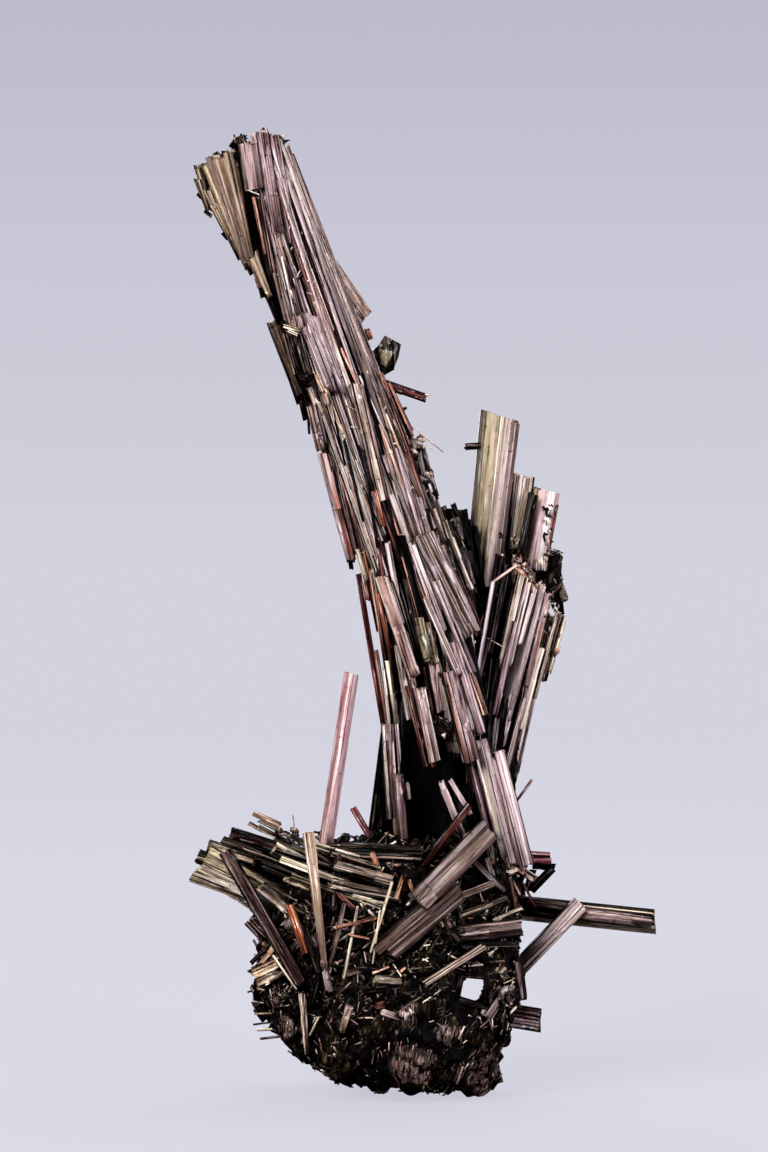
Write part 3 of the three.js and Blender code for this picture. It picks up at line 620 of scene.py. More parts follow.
# The tall bundle: its oval section at each height, how many laths and chips it has, how they change with
# height, the black crevice down its lower front, and the line along which its tip is broken off.
bundle = {
    "heights": [20, 26, 31, 36, 42, 48, 57, 66, 74, 77, 79, 83, 87, 92, 96.5],
    "middles": [3.4, 3.4, 3.4, 3.2, 3.1, 2.5, -0.45, -3.6, -7.0, -8.2, -8.8, -9.95, -11.5, -12.7, -13.6],
    "halfWidths": [3.0, 3.3, 4.0, 4.7, 4.7, 4.7, 4.65, 4.6, 4.25, 3.35, 3.1, 2.45, 2.2, 2.6, 2.5],
    "halfDepths": [3.1, 3.4, 4.0, 4.6, 5.0, 5.1, 5.0, 4.7, 4.1, 3.95, 3.8, 3.5, 3.25, 3.0, 2.7],
    "lanes": 60,
    "innerLanes": 30,
    "crownLaths": 44,
    "threads": 150,
    "chips": 260,
    # these have heights, then what applies there
    "looseness": ([42, 58, 90], [1.0, 0.45, 0.0]),              # how loosely the laths lie together
    "missing": ([34, 48], [0.3, 0.0]),                          # the share of laths left out besides
    "narrowest": ([45, 60, 72, 90], [1.0, 0.9, 1.0, 1.3]),      # lath widths, in widths of a lane
    "widest": ([45, 60, 72, 90], [3.2, 2.1, 2.3, 3.3]),
    "lowness": ([55, 80], [1.0, 0.0]),                          # colours vary most where this is 1
    "tone": ([46, 62, 90], [1.0, 0.99, 0.74]),
    "innerShadeTone": ([45, 60, 85], [0.04, 0.14, 0.4]),              # the lightest tone of the inner layer, painted dark as the shade deep inside
    # heights between which lanes end
    "frontFeet": (36, 45),
    "backFeet": (23, 29),
    "creviceHeights": [44.5, 56.5],
    "creviceX": [3.1, -0.4],
    "creviceHalf": 0.55,
    "creviceEnds": (42, 58),
    "tipX": [-16.0, -13.5, -12.4, -10.8],
    "tipHeights": [95.0, 96.9, 96.2, 94.0],
    "seed": 7,
}


def bundlePoint(height, angle, reach):
    # the middle at that height plus the half sizes times the angle's cosine and sine, times a share of them
    middle, halfWidth, halfDepth = (np.interp(height, bundle["heights"], bundle[k])
                                    for k in ("middles", "halfWidths", "halfDepths"))
    return np.stack([middle + reach * halfWidth * np.cos(angle), reach * halfDepth * np.sin(angle),
                     height + 0 * angle], -1)


def bundleHeart():
    # a near-black oval tube at two thirds of the bundle's half sizes, so that no light shows through; its
    # colour is painted shade for the bundle's inside
    count = 24     # rings, and points round each ring
    heights = np.linspace(bundle["heights"][0], bundle["heights"][-1] - 1.5, count)
    angle = np.linspace(0, 2 * np.pi, count, endpoint=False)
    rings = bundlePoint(heights[:, None] + 0 * angle, angle + 0 * heights[:, None], 0.66)
    grid = np.arange(rings[..., 0].size).reshape(rings.shape[:2])
    after = np.roll(grid, -1, axis=1)
    quads = np.stack([grid[:-1], after[:-1], after[1:], grid[1:]], -1).reshape(-1, 4)
    low, high = rings[0].mean(0), rings[-1].mean(0)
    lowFan = np.stack([np.full(count, grid.size), after[0], grid[0]], -1)
    highFan = np.stack([np.full(count, grid.size + 1), grid[-1], after[-1]], -1)
    fans = np.concatenate([lowFan, highFan])
    points = np.concatenate([rings.reshape(-1, 3), [low, high]])
    dark = [-0.6, 0.2, 0.1]     # tone, hue and rust; the near-black tone is painted shade
    return {"points": points,
            "faces": [(quads, points[quads][..., ::2], np.tile(dark, (len(quads), 1))),
                      (fans, points[fans][..., :2], np.tile(dark, (len(fans), 1)))]}


def inCrevice(angle, top, bottom):
    # true for a lath in front whose middle lies nearer the crevice's line than the crevice's half width
    height = 0.5 * (top + bottom)
    place = bundlePoint(height, np.array(angle), 0.95)
    middle = np.interp(height, bundle["creviceHeights"], bundle["creviceX"])
    low, high = bundle["creviceEnds"]
    return low < height < high and place[1] < 0 and abs(place[0] - middle) < bundle["creviceHalf"]


def laneLath(rng, seed, angle, top, bottom, reach, width, look, flat=0.9):
    # one lath of a lane, from one height down to another at an angle round the bundle, its broad face out
    start = bundlePoint(top, np.array(angle), reach)
    end = bundlePoint(bottom, np.array(angle + rng.normal(0, 0.015)), reach * rng.uniform(0.985, 1.01))
    outward = unit(np.array([math.cos(angle), math.sin(angle), 0.0]))
    twist = unit(outward + 0.16 * rng.normal(0, 1, 3))
    return crystal(start, end, width, width * flat, seed=seed, facing=twist, **look)


def laneLook(rng, height):
    # the look of one lath: mauve-grey near the tip; champagne and rust red ones grow common lower down
    kind = rng.random()
    low, tone = np.interp(height, *bundle["lowness"]), np.interp(height, *bundle["tone"])
    look = {"tone": rng.normal(tone, 0.05), "hue": rng.uniform(0, 0.3 + 0.12 * low),
            "rust": rng.uniform(0, 0.08)}
    if kind > 0.97 - 0.10 * low:          # rust red
        look["rust"] = rng.uniform(0.4, 0.8)
        look["tone"] -= 0.22
    elif kind > 0.93 - 0.27 * low:        # champagne
        look["hue"] = rng.uniform(0.4, 0.75)
        look["tone"] += 0.03 * low
    elif kind < 0.04 + 0.09 * low:        # dark
        look["tone"] -= 0.45
    look["steps"] = int(rng.integers(1, 3))
    look["ragged"] = 0.5
    look["facetSize"] = 0.2 if height < 75 else 0.14
    look["tilt"] = 0.06 + 0.12 * low
    look["spread"] = 0.06 + 0.08 * low
    look["edgeRust"] = 0.04 + 0.11 * low
    return look


def bundleLaths():
    # lanes of laths side by side round the bundle, end to end down each lane; they stand out by more and
    # leave more gaps towards the foot, and an inner layer lies inside them, painted dark as the shade deep in
    # the bundle
    rng = np.random.default_rng(bundle["seed"])
    sides = {"front": [], "back": [], "top": []}
    seed = 1000     # the first lath's; each place down a lane has the next one
    for lane in range(bundle["lanes"]):
        angle = 2 * np.pi * (lane + rng.uniform(-0.2, 0.2)) / bundle["lanes"]
        onLeft = math.cos(angle) < -0.5     # here the laths keep clear of the rod that stands beside them
        tipX = bundlePoint(95, np.array(angle), 0.95)[0]
        top = np.interp(tipX, bundle["tipX"], bundle["tipHeights"]) + rng.uniform(-0.6, 0.1)
        top -= rng.uniform(3, 9) if rng.random() < 0.15 else 0     # some lanes start lower
        while top > (46 if math.sin(angle) < 0.1 else 30):         # lanes run lower behind than in front
            loose = np.interp(top, *bundle["looseness"])
            length = rng.uniform(15 - 3 * loose, 38 - 10 * loose)
            lowest = rng.uniform(*bundle["frontFeet" if math.sin(angle) < 0.1 else "backFeet"])
            bottom = max(top - length, lowest)
            if onLeft and top > 53:
                bottom = max(bottom, rng.uniform(51, 53))     # the lane leaves out the stretch by the rod
            laneWidth = 2 * np.pi * np.interp(top, bundle["heights"], bundle["halfWidths"]) / bundle["lanes"]
            width = laneWidth * rng.uniform(*(np.interp(top, *bundle[k]) for k in ("narrowest", "widest")))
            flat = rng.uniform(0.35, 0.55) + 0.15 * loose
            reach = 0.95 - 0.5 * width * flat / 5 + rng.uniform(-0.02 - 0.05 * loose, 0.03 + 0.13 * loose)
            missing = 0.18 * loose + np.interp(top, *bundle["missing"])
            if rng.random() > missing and top - bottom > 3 and not inCrevice(angle, top, bottom):
                side = "front" if math.sin(angle) < 0.15 else "back"
                side = "top" if top + bottom > 136 else side     # its middle is above 68 mm
                look = laneLook(rng, top)
                sides[side].append(laneLath(rng, seed, angle, top, bottom, reach, width, look, flat))
            seed += 1
            top = bottom - rng.uniform(-0.6, 0.5)
            if onLeft and 43 < top < 54:
                top = 43.0
    for lane in range(bundle["innerLanes"]):     # the inner layer, painted dark as the shade deep inside the bundle
        angle = 2 * np.pi * (lane + rng.uniform(-0.3, 0.3)) / bundle["innerLanes"]
        top = rng.uniform(92, 95.5)
        lowest = rng.uniform(38, 44) if math.sin(angle) < 0.1 else 22
        while top > lowest + 4:
            bottom = max(top - rng.uniform(14, 26), lowest)
            if math.cos(angle) < -0.4 and top > 52:
                bottom = max(bottom, 51)
            laneWidth = 5.2 * np.interp(top, bundle["heights"], bundle["halfWidths"]) / bundle["innerLanes"]
            # painted shade: the inner laths are dark, less so towards the tip
            lightest = np.interp(top, *bundle["innerShadeTone"])
            look = laneLook(rng, top) | {"tone": rng.uniform(0.0, lightest), "steps": 1, "facetSize": 0.3,
                                         "rust": rng.uniform(0.2, 0.6)}
            if rng.random() < 0.42 and top < 72:     # rust shows between the laths lower down
                look |= {"tone": rng.uniform(0.25, 0.45), "rust": rng.uniform(0.6, 1)}
            side = "front" if math.sin(angle) < 0.15 else "back"
            sides[side].append(laneLath(rng, seed, angle, top, bottom, rng.uniform(0.76, 0.84),
                                        laneWidth * 1.15, look))
            seed += 1
            top = bottom + 0.4
    for _ in range(bundle["crownLaths"]):        # short ones that fill the broken tip
        angle, reach = rng.uniform(-np.pi, np.pi), rng.uniform(0.1, 0.75)
        tipX = bundlePoint(95, np.array(angle), reach)[0]
        top = np.interp(tipX, bundle["tipX"], bundle["tipHeights"]) - rng.uniform(0.5, 1.7)
        look = laneLook(rng, top) | {"tone": rng.uniform(0.2, 0.5)}
        sides["top"].append(laneLath(rng, seed, angle, top, 88.0, reach, rng.uniform(0.6, 1.1), look, 0.8))
        seed += 1
    return sides


def bundleThreads():
    # hair-fine ridges and chips that lie on the laths, at 0.96 to 1.03 times the bundle's half sizes
    rng = np.random.default_rng(bundle["seed"] + 1)
    count = bundle["threads"]
    angle = rng.uniform(-np.pi, np.pi, count)
    top = rng.uniform(46, 95, count)
    length = rng.uniform(3, 9, count)
    reach = rng.uniform(0.96, 1.03, count)
    starts = bundlePoint(top, angle, reach)
    ends = bundlePoint(np.maximum(top - length, 24), angle + rng.normal(0, 0.03, count), reach)
    width = rng.uniform(0.12, 0.3, count)
    facets = np.stack([rng.choice([0.15, 0.5, 0.8, 0.95], count, p=[0.3, 0.2, 0.3, 0.2]),
                       rng.uniform(0, 1, count), rng.choice([0.05, 0.7], count, p=[0.62, 0.38])], -1)
    threads = needles(starts, ends, width, width, facets, 71, sides=5)
    count = bundle["chips"]
    angle, top = rng.uniform(-np.pi, np.pi, count), rng.uniform(38, 96, count)
    places = bundlePoint(top, angle, rng.uniform(0.97, 1.03, count))
    way = unit(rng.normal(0, 1, (count, 3)) + [0, 0, 0.8])
    size = rng.uniform(0.15, 0.5, count)[:, None]
    facets = np.stack([rng.choice([0.1, 0.7, 1.0], count, p=[0.3, 0.3, 0.4]), rng.uniform(0.3, 1, count),
                       rng.choice([0.05, 0.6], count, p=[0.8, 0.2])], -1)
    width = rng.uniform(0.12, 0.3, count)
    chips = needles(places - way * size, places + way * size, width, width * 0.6, facets, 72, sides=4)
    return [threads, chips]


def backings(nodes):
    # laths behind each single lath that stands on the bundle, shifted towards the bundle's axis in three
    # steps, so that no light passes between the two
    parts = []
    for order, node in enumerate(nodes):
        line = nodeLine(node)
        start, end = line["start"], line["end"]
        for step in (0.8, 1.5, 2.3):
            ends = []
            for spot in (start * 0.95 + end * 0.05, end * 0.95 + start * 0.05):
                axis = bundlePoint(spot[2], np.array(0.0), 0.0)
                ends.append(spot + unit(axis - spot) * step)
            parts.append(crystal(*ends, 0.9 * line["width"], line["depth"], seed=4000 + order, tone=0.5,
                                 hue=0.3, rust=0.1, steps=1, ragged=1.0, facetSize=0.2))
    return parts


sides = bundleLaths()
makePiece("bundleFront", [bundleHeart(), *sides["front"]], opaqueSchorl, ["column"])
makePiece("bundleBack", sides["back"], opaqueSchorl)
makePiece("bundleTop", sides["top"], fineSchorl)
makePiece("bundleThreads", bundleThreads(), opaqueSchorl)
onTheBundle = ["side_slab", "scratched_lath", "orange_lath", "edge_lath_high", "edge_lath_low",
               "foot_lath_left", "foot_lath_right"]
makePiece("bundleBackings", backings(onTheBundle), opaqueSchorl)
print("tall bundle made:", len(sides["front"]), "laths in front and", len(sides["back"]), "behind")


def crystalRows(rows, seed, **look):
    # one crystal for each row: start x y z, end x y z, width, its depth over its width, tone, hue, rust
    parts = []
    for i, (x0, y0, z0, x1, y1, z1, width, flat, tone, hue, rust) in enumerate(rows):
        parts.append(crystal((x0, y0, z0), (x1, y1, z1), width, width * flat, seed=seed + i,
                             tone=tone, hue=hue, rust=rust, **look))
    return parts


def sheaf(count, low, high, way, length, width, tone, seed, **look):
    # loose crystals side by side: their upper ends lie in a box between two corners, and each runs down
    # near one way
    rng = np.random.default_rng(seed)
    parts = []
    for i in range(count):
        start = rng.uniform(low, high)
        along = unit(np.array(way) + 0.06 * rng.normal(0, 1, 3))
        wide = rng.uniform(*width)
        own = {"tone": rng.uniform(*tone), "hue": rng.uniform(0.1, 0.9), "rust": rng.uniform(0, 0.15)} | look
        end = start + along * rng.uniform(*length)
        parts.append(crystal(start, end, wide, wide * 0.9, seed=seed + i, **own))
    return parts


# the flaring shard beside the tip, left to right, with the dark crystals that join it to the bundle
shardRows = [
    (-20.1, -0.3, 92.1, -18.9, -0.3, 88.2, 1.2, 1, 0.39, 0.8, 0.18),
    (-19.4, -0.5, 91, -17.3, -0.4, 86.4, 1.1, 1, 0.57, 0.95, 0.16),
    (-18.6, -0.6, 89.4, -16, -0.5, 84.2, 1, 1, 0.65, 0.95, 0.18),
    (-17.1, -0.6, 86.6, -14.7, -0.5, 82.4, 0.9, 1, 0.55, 0.95, 0.26),
    (-20.2, -0.4, 93.3, -18.8, -0.4, 88.8, 1, 1, 0.45, 0.85, 0.16),
    (-19.2, -0.9, 93.5, -15, -0.9, 82.6, 1.4, 0.8, 0.55, 0.95, 0.12),
    (-17.2, -0.9, 94.8, -13.6, -0.8, 80.2, 1.5, 0.9, 0.45, 0.8, 0.16),
    (-16.7, -0.5, 94, -13.5, -0.6, 79.6, 1, 1, 0.33, 0.7, 0.31),
    (-18.9, 0.9, 93.2, -14.4, 0.5, 82, 1.8, 0.9, 0.49, 0.9, 0.16),
    (-17.4, 0.9, 94.4, -13.6, 0.6, 81, 1.8, 0.9, 0.39, 0.8, 0.16),
    (-19.4, 0.4, 92, -15.6, 0.2, 83.6, 1.7, 1, 0.43, 0.9, 0.16),
    (-16.2, 0.6, 95, -14, 0.6, 84, 1.5, 1, 0.08, 0.4, 0.1),
    (-15.6, 0.9, 94, -13.2, 0.8, 80, 1.5, 1, 0.06, 0.4, 0.1),
    (-15, -0.2, 84.6, -11.7, -0.4, 76.4, 0.8, 1, 0.14, 0.4, 0.1),
    (-13.8, 0.5, 85.4, -11.1, 0.2, 76, 1.4, 1, 0.02, 0.4, 0.1),
    (-15.9, -1.2, 93.6, -14.3, -1.2, 84, 0.8, 1, -0.3, 0.4, 0.1),
    (-14.9, -1.1, 84.7, -12.9, -1.1, 79.8, 1, 0.6, 0.75, 0.95, 0.16),
    (-14.6, -1.8, 90, -13.5, -1.8, 84.2, 0.45, 0.8, 0.61, 0.6, 0.71),
]
shardChips = [
    (-20.3, -0.5, 90.4, -19.4, -0.5, 89.6, 0.5, 1, 0.16, 0.8, 0.1),
    (-19.6, -0.7, 88.6, -18.7, -0.7, 87.9, 0.5, 1, 0.6, 0.8, 0.1),
    (-17.7, -0.6, 86.4, -17, -0.6, 85.6, 0.5, 1, 0.16, 0.8, 0.1),
    (-16.7, -0.6, 84.8, -16.1, -0.6, 84.1, 0.5, 1, 0.5, 0.9, 0.1),
    (-19.6, 0.2, 93, -18.9, 0.2, 92.2, 0.6, 1, 0.3, 0.8, 0.1),
    (-18.6, 0.2, 94.4, -17.9, 0.2, 93.6, 0.7, 1, 0.34, 0.8, 0.1),
    (-16.9, -0.8, 95.3, -15.6, -0.6, 94.6, 0.9, 1, 0.1, 0.6, 0.1),
    (-15.9, -0.8, 96, -15.3, -0.8, 94.4, 0.7, 1, 0.16, 0.7, 0.1),
    (-16.4, -1.4, 94.4, -15.8, -1.4, 93, 0.6, 1, 0.08, 0.7, 0.1),
    (-15.5, -1.5, 93, -15.2, -1.5, 90.6, 0.5, 1, 0.12, 0.7, 0.1),
    (-12.3, -0.9, 95.9, -11.4, -0.9, 94.9, 0.8, 1, 0.12, 0.3, 0.1),
    (-15.4, -1.8, 83.2, -14.8, -1.8, 82.4, 0.4, 1, 0.12, 0.6, 0.2),
]
parts = crystalRows(shardRows, 500, taper=0.62, ragged=0.8, facetSize=0.22, steps=1, spread=0.08,
                    edgeDark=0.45)
parts += crystalRows(shardChips, 540, ragged=0.3, steps=0, facetSize=0.3, tilt=0.3)
parts.append(crystal((-18.0, -1.3, 94.3), (-14.9, -1.3, 83.2), 3.0, 1.1, seed=560, taper=0.45,
                     ragged=0.6, steps=0, facetSize=0.3, tone=0.55, spread=0.06, hue=0.8, rust=0.2,
                     groove=0.1, edgeDark=0.2, tilt=0.03))     # its broad smooth front
makePiece("flaringShard", parts, smoothSchorl, ["top_shard"])

# laths, needles and chips that stand on the bundle, from the tip down; the rows with a tone below zero are
# near-black laths that are painted shade for the hollows in the bundle
bundleRows = [
    (-15.2, -3.3, 90.4, -13.9, -3.4, 89.9, 0.3, 0.8, 0.95, 0.5, 0.05),
    (-3.6, 1.2, 51.6, -3.15, 1.2, 49.4, 0.5, 0.8, 0.4, 0.3, 0.6),
    (-2.45, 1.2, 44.8, -1.15, 1, 36.5, 0.55, 0.8, 0.5, 0.4, 0.6),
    (-1.4, -1.6, 71.6, 1.2, -1.8, 65.8, 0.6, 0.8, 0.44, 0.3, 0.7),
    (-0.7, -1.2, 70.4, 1.2, -1.4, 66.4, 0.5, 0.8, 0.3, 0.3, 0.4),
    (-2, -2.6, 72.4, 0.9, -2.8, 64.4, 0.6, 0.8, 0.52, 0.4, 0.75),
    (-1, -2, 70, 1.5, -2.2, 62.4, 0.5, 0.8, 0.4, 0.3, 0.85),
    (-2.2, -3.2, 70, -0.2, -3.4, 63.6, 0.4, 0.8, 0.6, 0.6, 0.4),
    (0.6, -2.6, 65.4, 2.8, -2.8, 58.6, 0.6, 0.8, 0.46, 0.5, 0.6),
    (-9.5, -4.1, 77, -8.9, -4.2, 75.6, 0.7, 0.7, 0.6, 0.3, 0.5),
    (-13.7, -2.6, 96.4, -12, -3.1, 86, 1.4, 0.5, 0.56, 0.1, 0.04),
    (-12.6, -2.4, 96, -10.6, -3, 85, 1.2, 0.5, 0.5, 0.1, 0.04),
    (-14.5, -2.4, 90, -13.3, -2.8, 84, 0.5, 0.8, 0.56, 0.4, 0.75),
    (-14, -2.5, 89.9, -12.6, -3, 82, 0.5, 0.8, 0.5, 0.3, 0.5),
    (6, -1.4, 31.5, 7.9, -2, 22.6, 1.8, 0.8, -0.4, 0.2, 0.05),
    (-2.3, -4.4, 56, -1.1, -4.6, 47.5, 0.45, 0.8, 0.5, 0.3, 0.8),
    (-1.5, -4.5, 48.5, -0.5, -4.6, 40.5, 0.4, 0.8, 0.45, 0.3, 0.8),
    (0.6, -5.3, 41.5, 2.6, -5.6, 33.4, 0.5, 0.8, 0.45, 0.3, 0.85),
    (-3.4, -4.8, 62.5, -2.2, -4.9, 55, 0.35, 0.8, 0.42, 0.3, 0.8),
    (1.2, -4.9, 61, 2.8, -4.9, 54.5, 0.4, 0.8, 0.42, 0.3, 0.75),
    (-7, -2.7, 64.5, -4.7, -2.9, 53.4, 0.6, 0.8, 0.3, 0.3, 0.5),
    (0.6, 1.4, 41, -0.8, 1.4, 24, 2.6, 0.8, -0.4, 0.2, 0.05),
    (1.6, -0.4, 41, 0.8, -0.4, 24, 2.4, 0.8, -0.4, 0.2, 0.05),
    (-11.5, -3.3, 76.4, -10.3, -3.4, 72, 0.6, 0.8, 0.3, 0.8, 0.05),
    (-11, -3.4, 76.1, -9.8, -3.5, 71.8, 0.5, 0.8, 0.22, 0.9, 0.05),
    (-10.5, -3.5, 76.5, -9.3, -3.6, 72.2, 0.6, 0.8, 0.36, 0.7, 0.05),
    (-10, -3.6, 76.2, -8.9, -3.7, 71.9, 0.5, 0.8, 0.26, 0.4, 0.05),
    (-11.7, -3.5, 77, -9.7, -3.9, 76.5, 0.5, 0.9, 0.86, 0.9, 0.15),
    (-11.2, -3.8, 76.6, -9.9, -4, 76, 0.35, 0.9, 0.95, 0.9, 0.1),
    (-10.1, -3.8, 71.9, -8.6, -3.9, 71.4, 0.8, 0.8, 0.06, 0.2, 0.05),
    (-9.8, -2, 69.8, -9.3, -2, 67.6, 0.7, 1, 0.12, 0.3, 0.1),
    (-9.2, -1.8, 69.2, -9, -1.8, 66, 0.3, 1, 0.15, 0.1, 0.1),
    (-8.3, -4, 66.7, -7.3, -4.3, 69.2, 0.2, 1, 0.66, 0.5, 0.45),
    (-6.9, -4.4, 69.4, -6.5, -4.4, 67.4, 0.16, 1, 0.7, 0.5, 0.35),
    (-7.6, -4.4, 70.6, -7.2, -4.5, 69, 0.7, 0.8, 0.66, 0.3, 0.35),
    (-5.5, -4.9, 69.2, -4.2, -4.9, 68.5, 0.14, 1, 0.8, 0.6, 0.2),
    (-12.3, -1.5, 77.6, -9.5, -1.7, 69.4, 1.6, 0.7, -0.1, 0.3, 0.1),
    (-12.1, -2.7, 77.2, -10.6, -2.9, 72.9, 0.5, 0.8, 0.3, 0.3, 0.6),
    # painted shade: near-black laths down the lower front, where the bundle lies in shadow
    (0, -5.1, 56.4, 3.1, -5.2, 45.2, 0.9, 0.6, -0.6, 0.2, 0.05),
    (-5.6, -4.6, 66, -3.6, -4.9, 57.6, 0.35, 0.6, -0.6, 0.2, 0.05),
    (-1.6, -5, 61.5, 0.1, -5.1, 53.5, 0.4, 0.6, -0.6, 0.2, 0.05),
    (-1.4, -5, 52, 0.4, -5, 43, 0.45, 0.6, -0.6, 0.2, 0.05),
    (2.6, -4.8, 59, 4.6, -4.6, 51, 0.4, 0.6, -0.6, 0.2, 0.05),
    (-7.4, -4, 72, -5.4, -4.4, 63, 0.3, 0.6, -0.6, 0.2, 0.05),
    (-3.8, -4.2, 72.5, -1.6, -4.4, 64, 0.35, 0.6, -0.6, 0.2, 0.05),
    (5.6, -2.6, 50, 8.2, -3, 39, 1.2, 0.6, -0.4, 0.2, 0.05),
    (-2.6, -5, 60.8, -1.7, -5.1, 57, 0.6, 0.9, 0.62, 0.3, 0.85),
    (-4.2, -4.7, 65.2, -2.2, -4.9, 59.7, 0.4, 0.8, 0.02, 0.2, 0.1),
    (-3.2, -4.8, 66.4, -1.6, -4.9, 60.8, 0.5, 0.8, 0.8, 0.1, 0.05),
    (-5.3, -1.7, 55.6, -4.8, -1.7, 52.6, 0.5, 1, 0.14, 0.2, 0.1),
    (-4.3, -4, 55, -3.3, -4.2, 51.6, 0.5, 1, 0.82, 0.9, 0.1),
    (-3.7, -3.4, 54.6, -2.1, -3.6, 46.6, 0.5, 0.8, 0.45, 0.3, 0.8),
    (-2.9, -4, 53, -1.5, -4.2, 44, 0.5, 0.8, 0.62, 0.6, 0.3),
    (-2.3, -4.3, 50.6, -1, -4.5, 45, 0.5, 1, 0.72, 0.5, 0.6),
    (-1.3, -4.4, 43.9, -0.3, -4.5, 37.5, 0.5, 1, 0.84, 0.9, 0.1),
    (-0.3, -4.7, 45.6, 1, -4.9, 37.9, 0.7, 1, 0.72, 0.2, 0.15),
    (2.6, -5.3, 38.3, 5, -5.4, 36.6, 1.5, 0.7, 0.1, 0.1, 0.05),
    (2.2, -5.4, 36.4, 3.4, -5.6, 33.4, 0.6, 1, 0.66, 0.4, 0.75),
    (5.3, -4.9, 45.8, 8.1, -5.2, 36.6, 0.9, 0.9, 0.76, 0.1, 0.1),
    (6.3, -4.6, 44.9, 8.5, -4.9, 38.4, 0.6, 0.9, 0.7, 0.5, 0.55),
    (3.5, -5.2, 52, 7.3, -5.4, 42.6, 0.9, 0.9, 0.72, 0.1, 0.05),
    (2.4, -5.3, 50.4, 5.9, -5.5, 42.4, 0.7, 0.9, 0.72, 0.3, 0.15),
    (1, -5, 55.6, 4.4, -5.2, 46.5, 0.9, 0.9, 0.7, 0.1, 0.05),
    (0, -4.9, 56.5, 2.6, -5.1, 49.6, 0.35, 1, 0.88, 0.8, 0.05),
    (4.1, -4, 54.6, 7.6, -4.2, 46.8, 0.7, 0.9, 0.66, 0.2, 0.2),
    (5.4, -3.4, 53, 7.9, -3.6, 46.9, 0.6, 0.9, 0.5, 0.4, 0.6),
    (4, -5.5, 32.1, 6.4, -5.7, 26.2, 0.7, 0.9, 0.7, 0.1, 0.1),
    (4.9, -5.2, 32.2, 7, -5.4, 28.6, 0.55, 0.9, 0.74, 0.1, 0.15),
    (6.2, -6, 26.4, 8, -5.8, 27.7, 0.3, 1, 0.84, 0.9, 0.2),
    (0.6, -4.8, 31.9, 0.8, -4.8, 30.1, 0.6, 1, 0.66, 0.1, 0.1),
    (-1, -3.9, 33.5, -0.4, -4.1, 26, 0.5, 1, 0.6, 0.2, 0.5),
    (-3.4, -0.2, 76.9, -2.9, -0.2, 75.6, 0.6, 1, 0.5, 0.3, 0.7),
    (-7.9, -0.6, 85.7, -7.3, -0.6, 85, 0.5, 1, 0.7, 0.4, 0.5),
    (2, -1, 70.3, 3.1, -1, 70.1, 0.16, 1, 0.95, 0.6, 0.1),
]
parts = crystalRows(bundleRows, 600, ragged=0.35, steps=1, facetSize=0.18, edgeRust=0.08)
makePiece("bundleSplinters", parts, opaqueSchorl)

# hair-fine needles: start x y z, end x y z and width
hairRows = np.array([
    (0.7, -1.2, 67.4, 4.3, -1.4, 64.5, 0.13),
    (1.4, -1, 60.6, 3.4, -1, 61.6, 0.1),
    (1.6, -1, 60.2, 3.2, -1.2, 59.2, 0.1),
    (2.1, -0.6, 62.8, 3.3, -0.8, 62.2, 0.1),
    (2.6, -1.2, 65.2, 3.2, -1.2, 64.8, 0.12),
    (8.7, 0, 45.9, 10.3, 0, 45, 0.12),
    (9.2, 0.2, 51.4, 11.7, 0.2, 53.2, 0.3),
    (-10.7, -2, 28.3, -10.4, -2, 26.1, 0.12),
    (13.2, -1.4, 31.8, 11.3, -1.4, 29.2, 0.32),
    (-12.5, -9.4, 15.2, -10.2, -9.8, 11.9, 0.24),
    (-8, -9.8, 9.2, -8.9, -9.6, 7.3, 0.22),
    (-0.8, -10.2, 22.5, -2.9, -11.3, 15.7, 0.3),
    (8.5, -7, 13.2, 10, -7, 12.7, 0.3),
    (-2, -10.9, 19.8, -2.7, -11.2, 14.6, 0.2),
    (-11.6, -4.4, 9.7, -14.8, -4.4, 9.9, 0.3),
    (-11.8, -4, 8.8, -14.5, -4.2, 8.7, 0.25),
    (-11.6, -4.6, 8.1, -14.6, -4.6, 7.7, 0.25),
    (-11, -4.2, 7.3, -14.2, -4.2, 7.1, 0.35),
    (-10.6, -4.8, 6.7, -13.9, -4.8, 6.3, 0.3),
    (-11.8, -4, 10.6, -14.2, -4, 11.2, 0.25),
])
hairLooks = np.array([(0.8, 0.2, 0.45)] * 4 + [(0.9, 0.3, 0.2)] * 3 + [(0.6, 0.6, 0.5)] * 2
                     + [(0.9, 0.9, 0.15)] * 5 + [(0.3, 0.6, 0.1), (0.8, 0.9, 0.1)] * 3)
hairs = needles(hairRows[:, :3], hairRows[:, 3:6], hairRows[:, 6], hairRows[:, 6], hairLooks, 73, sides=5)
makePiece("looseHairs", [hairs], clearSchorl)


def seated(places, sizes):
    # a chip that would hang in the air, farther from the skins of the pieces made so far than a fifth of
    # its least size, moves straight onto the nearest one
    placed = places.copy()
    for i, place in enumerate(places * mm):
        near, out = min((tree.find_nearest(place)[:2] for tree in skins),
                        key=lambda hit: np.linalg.norm(np.array(hit[0]) - place))
        away = (place - np.array(near)) / mm
        if away @ np.array(out) > 0 and np.linalg.norm(away) > 0.2 * sizes[i].min():
            placed[i] = np.array(near) / mm + 0.1 * sizes[i].min() * np.array(out)
    return placed


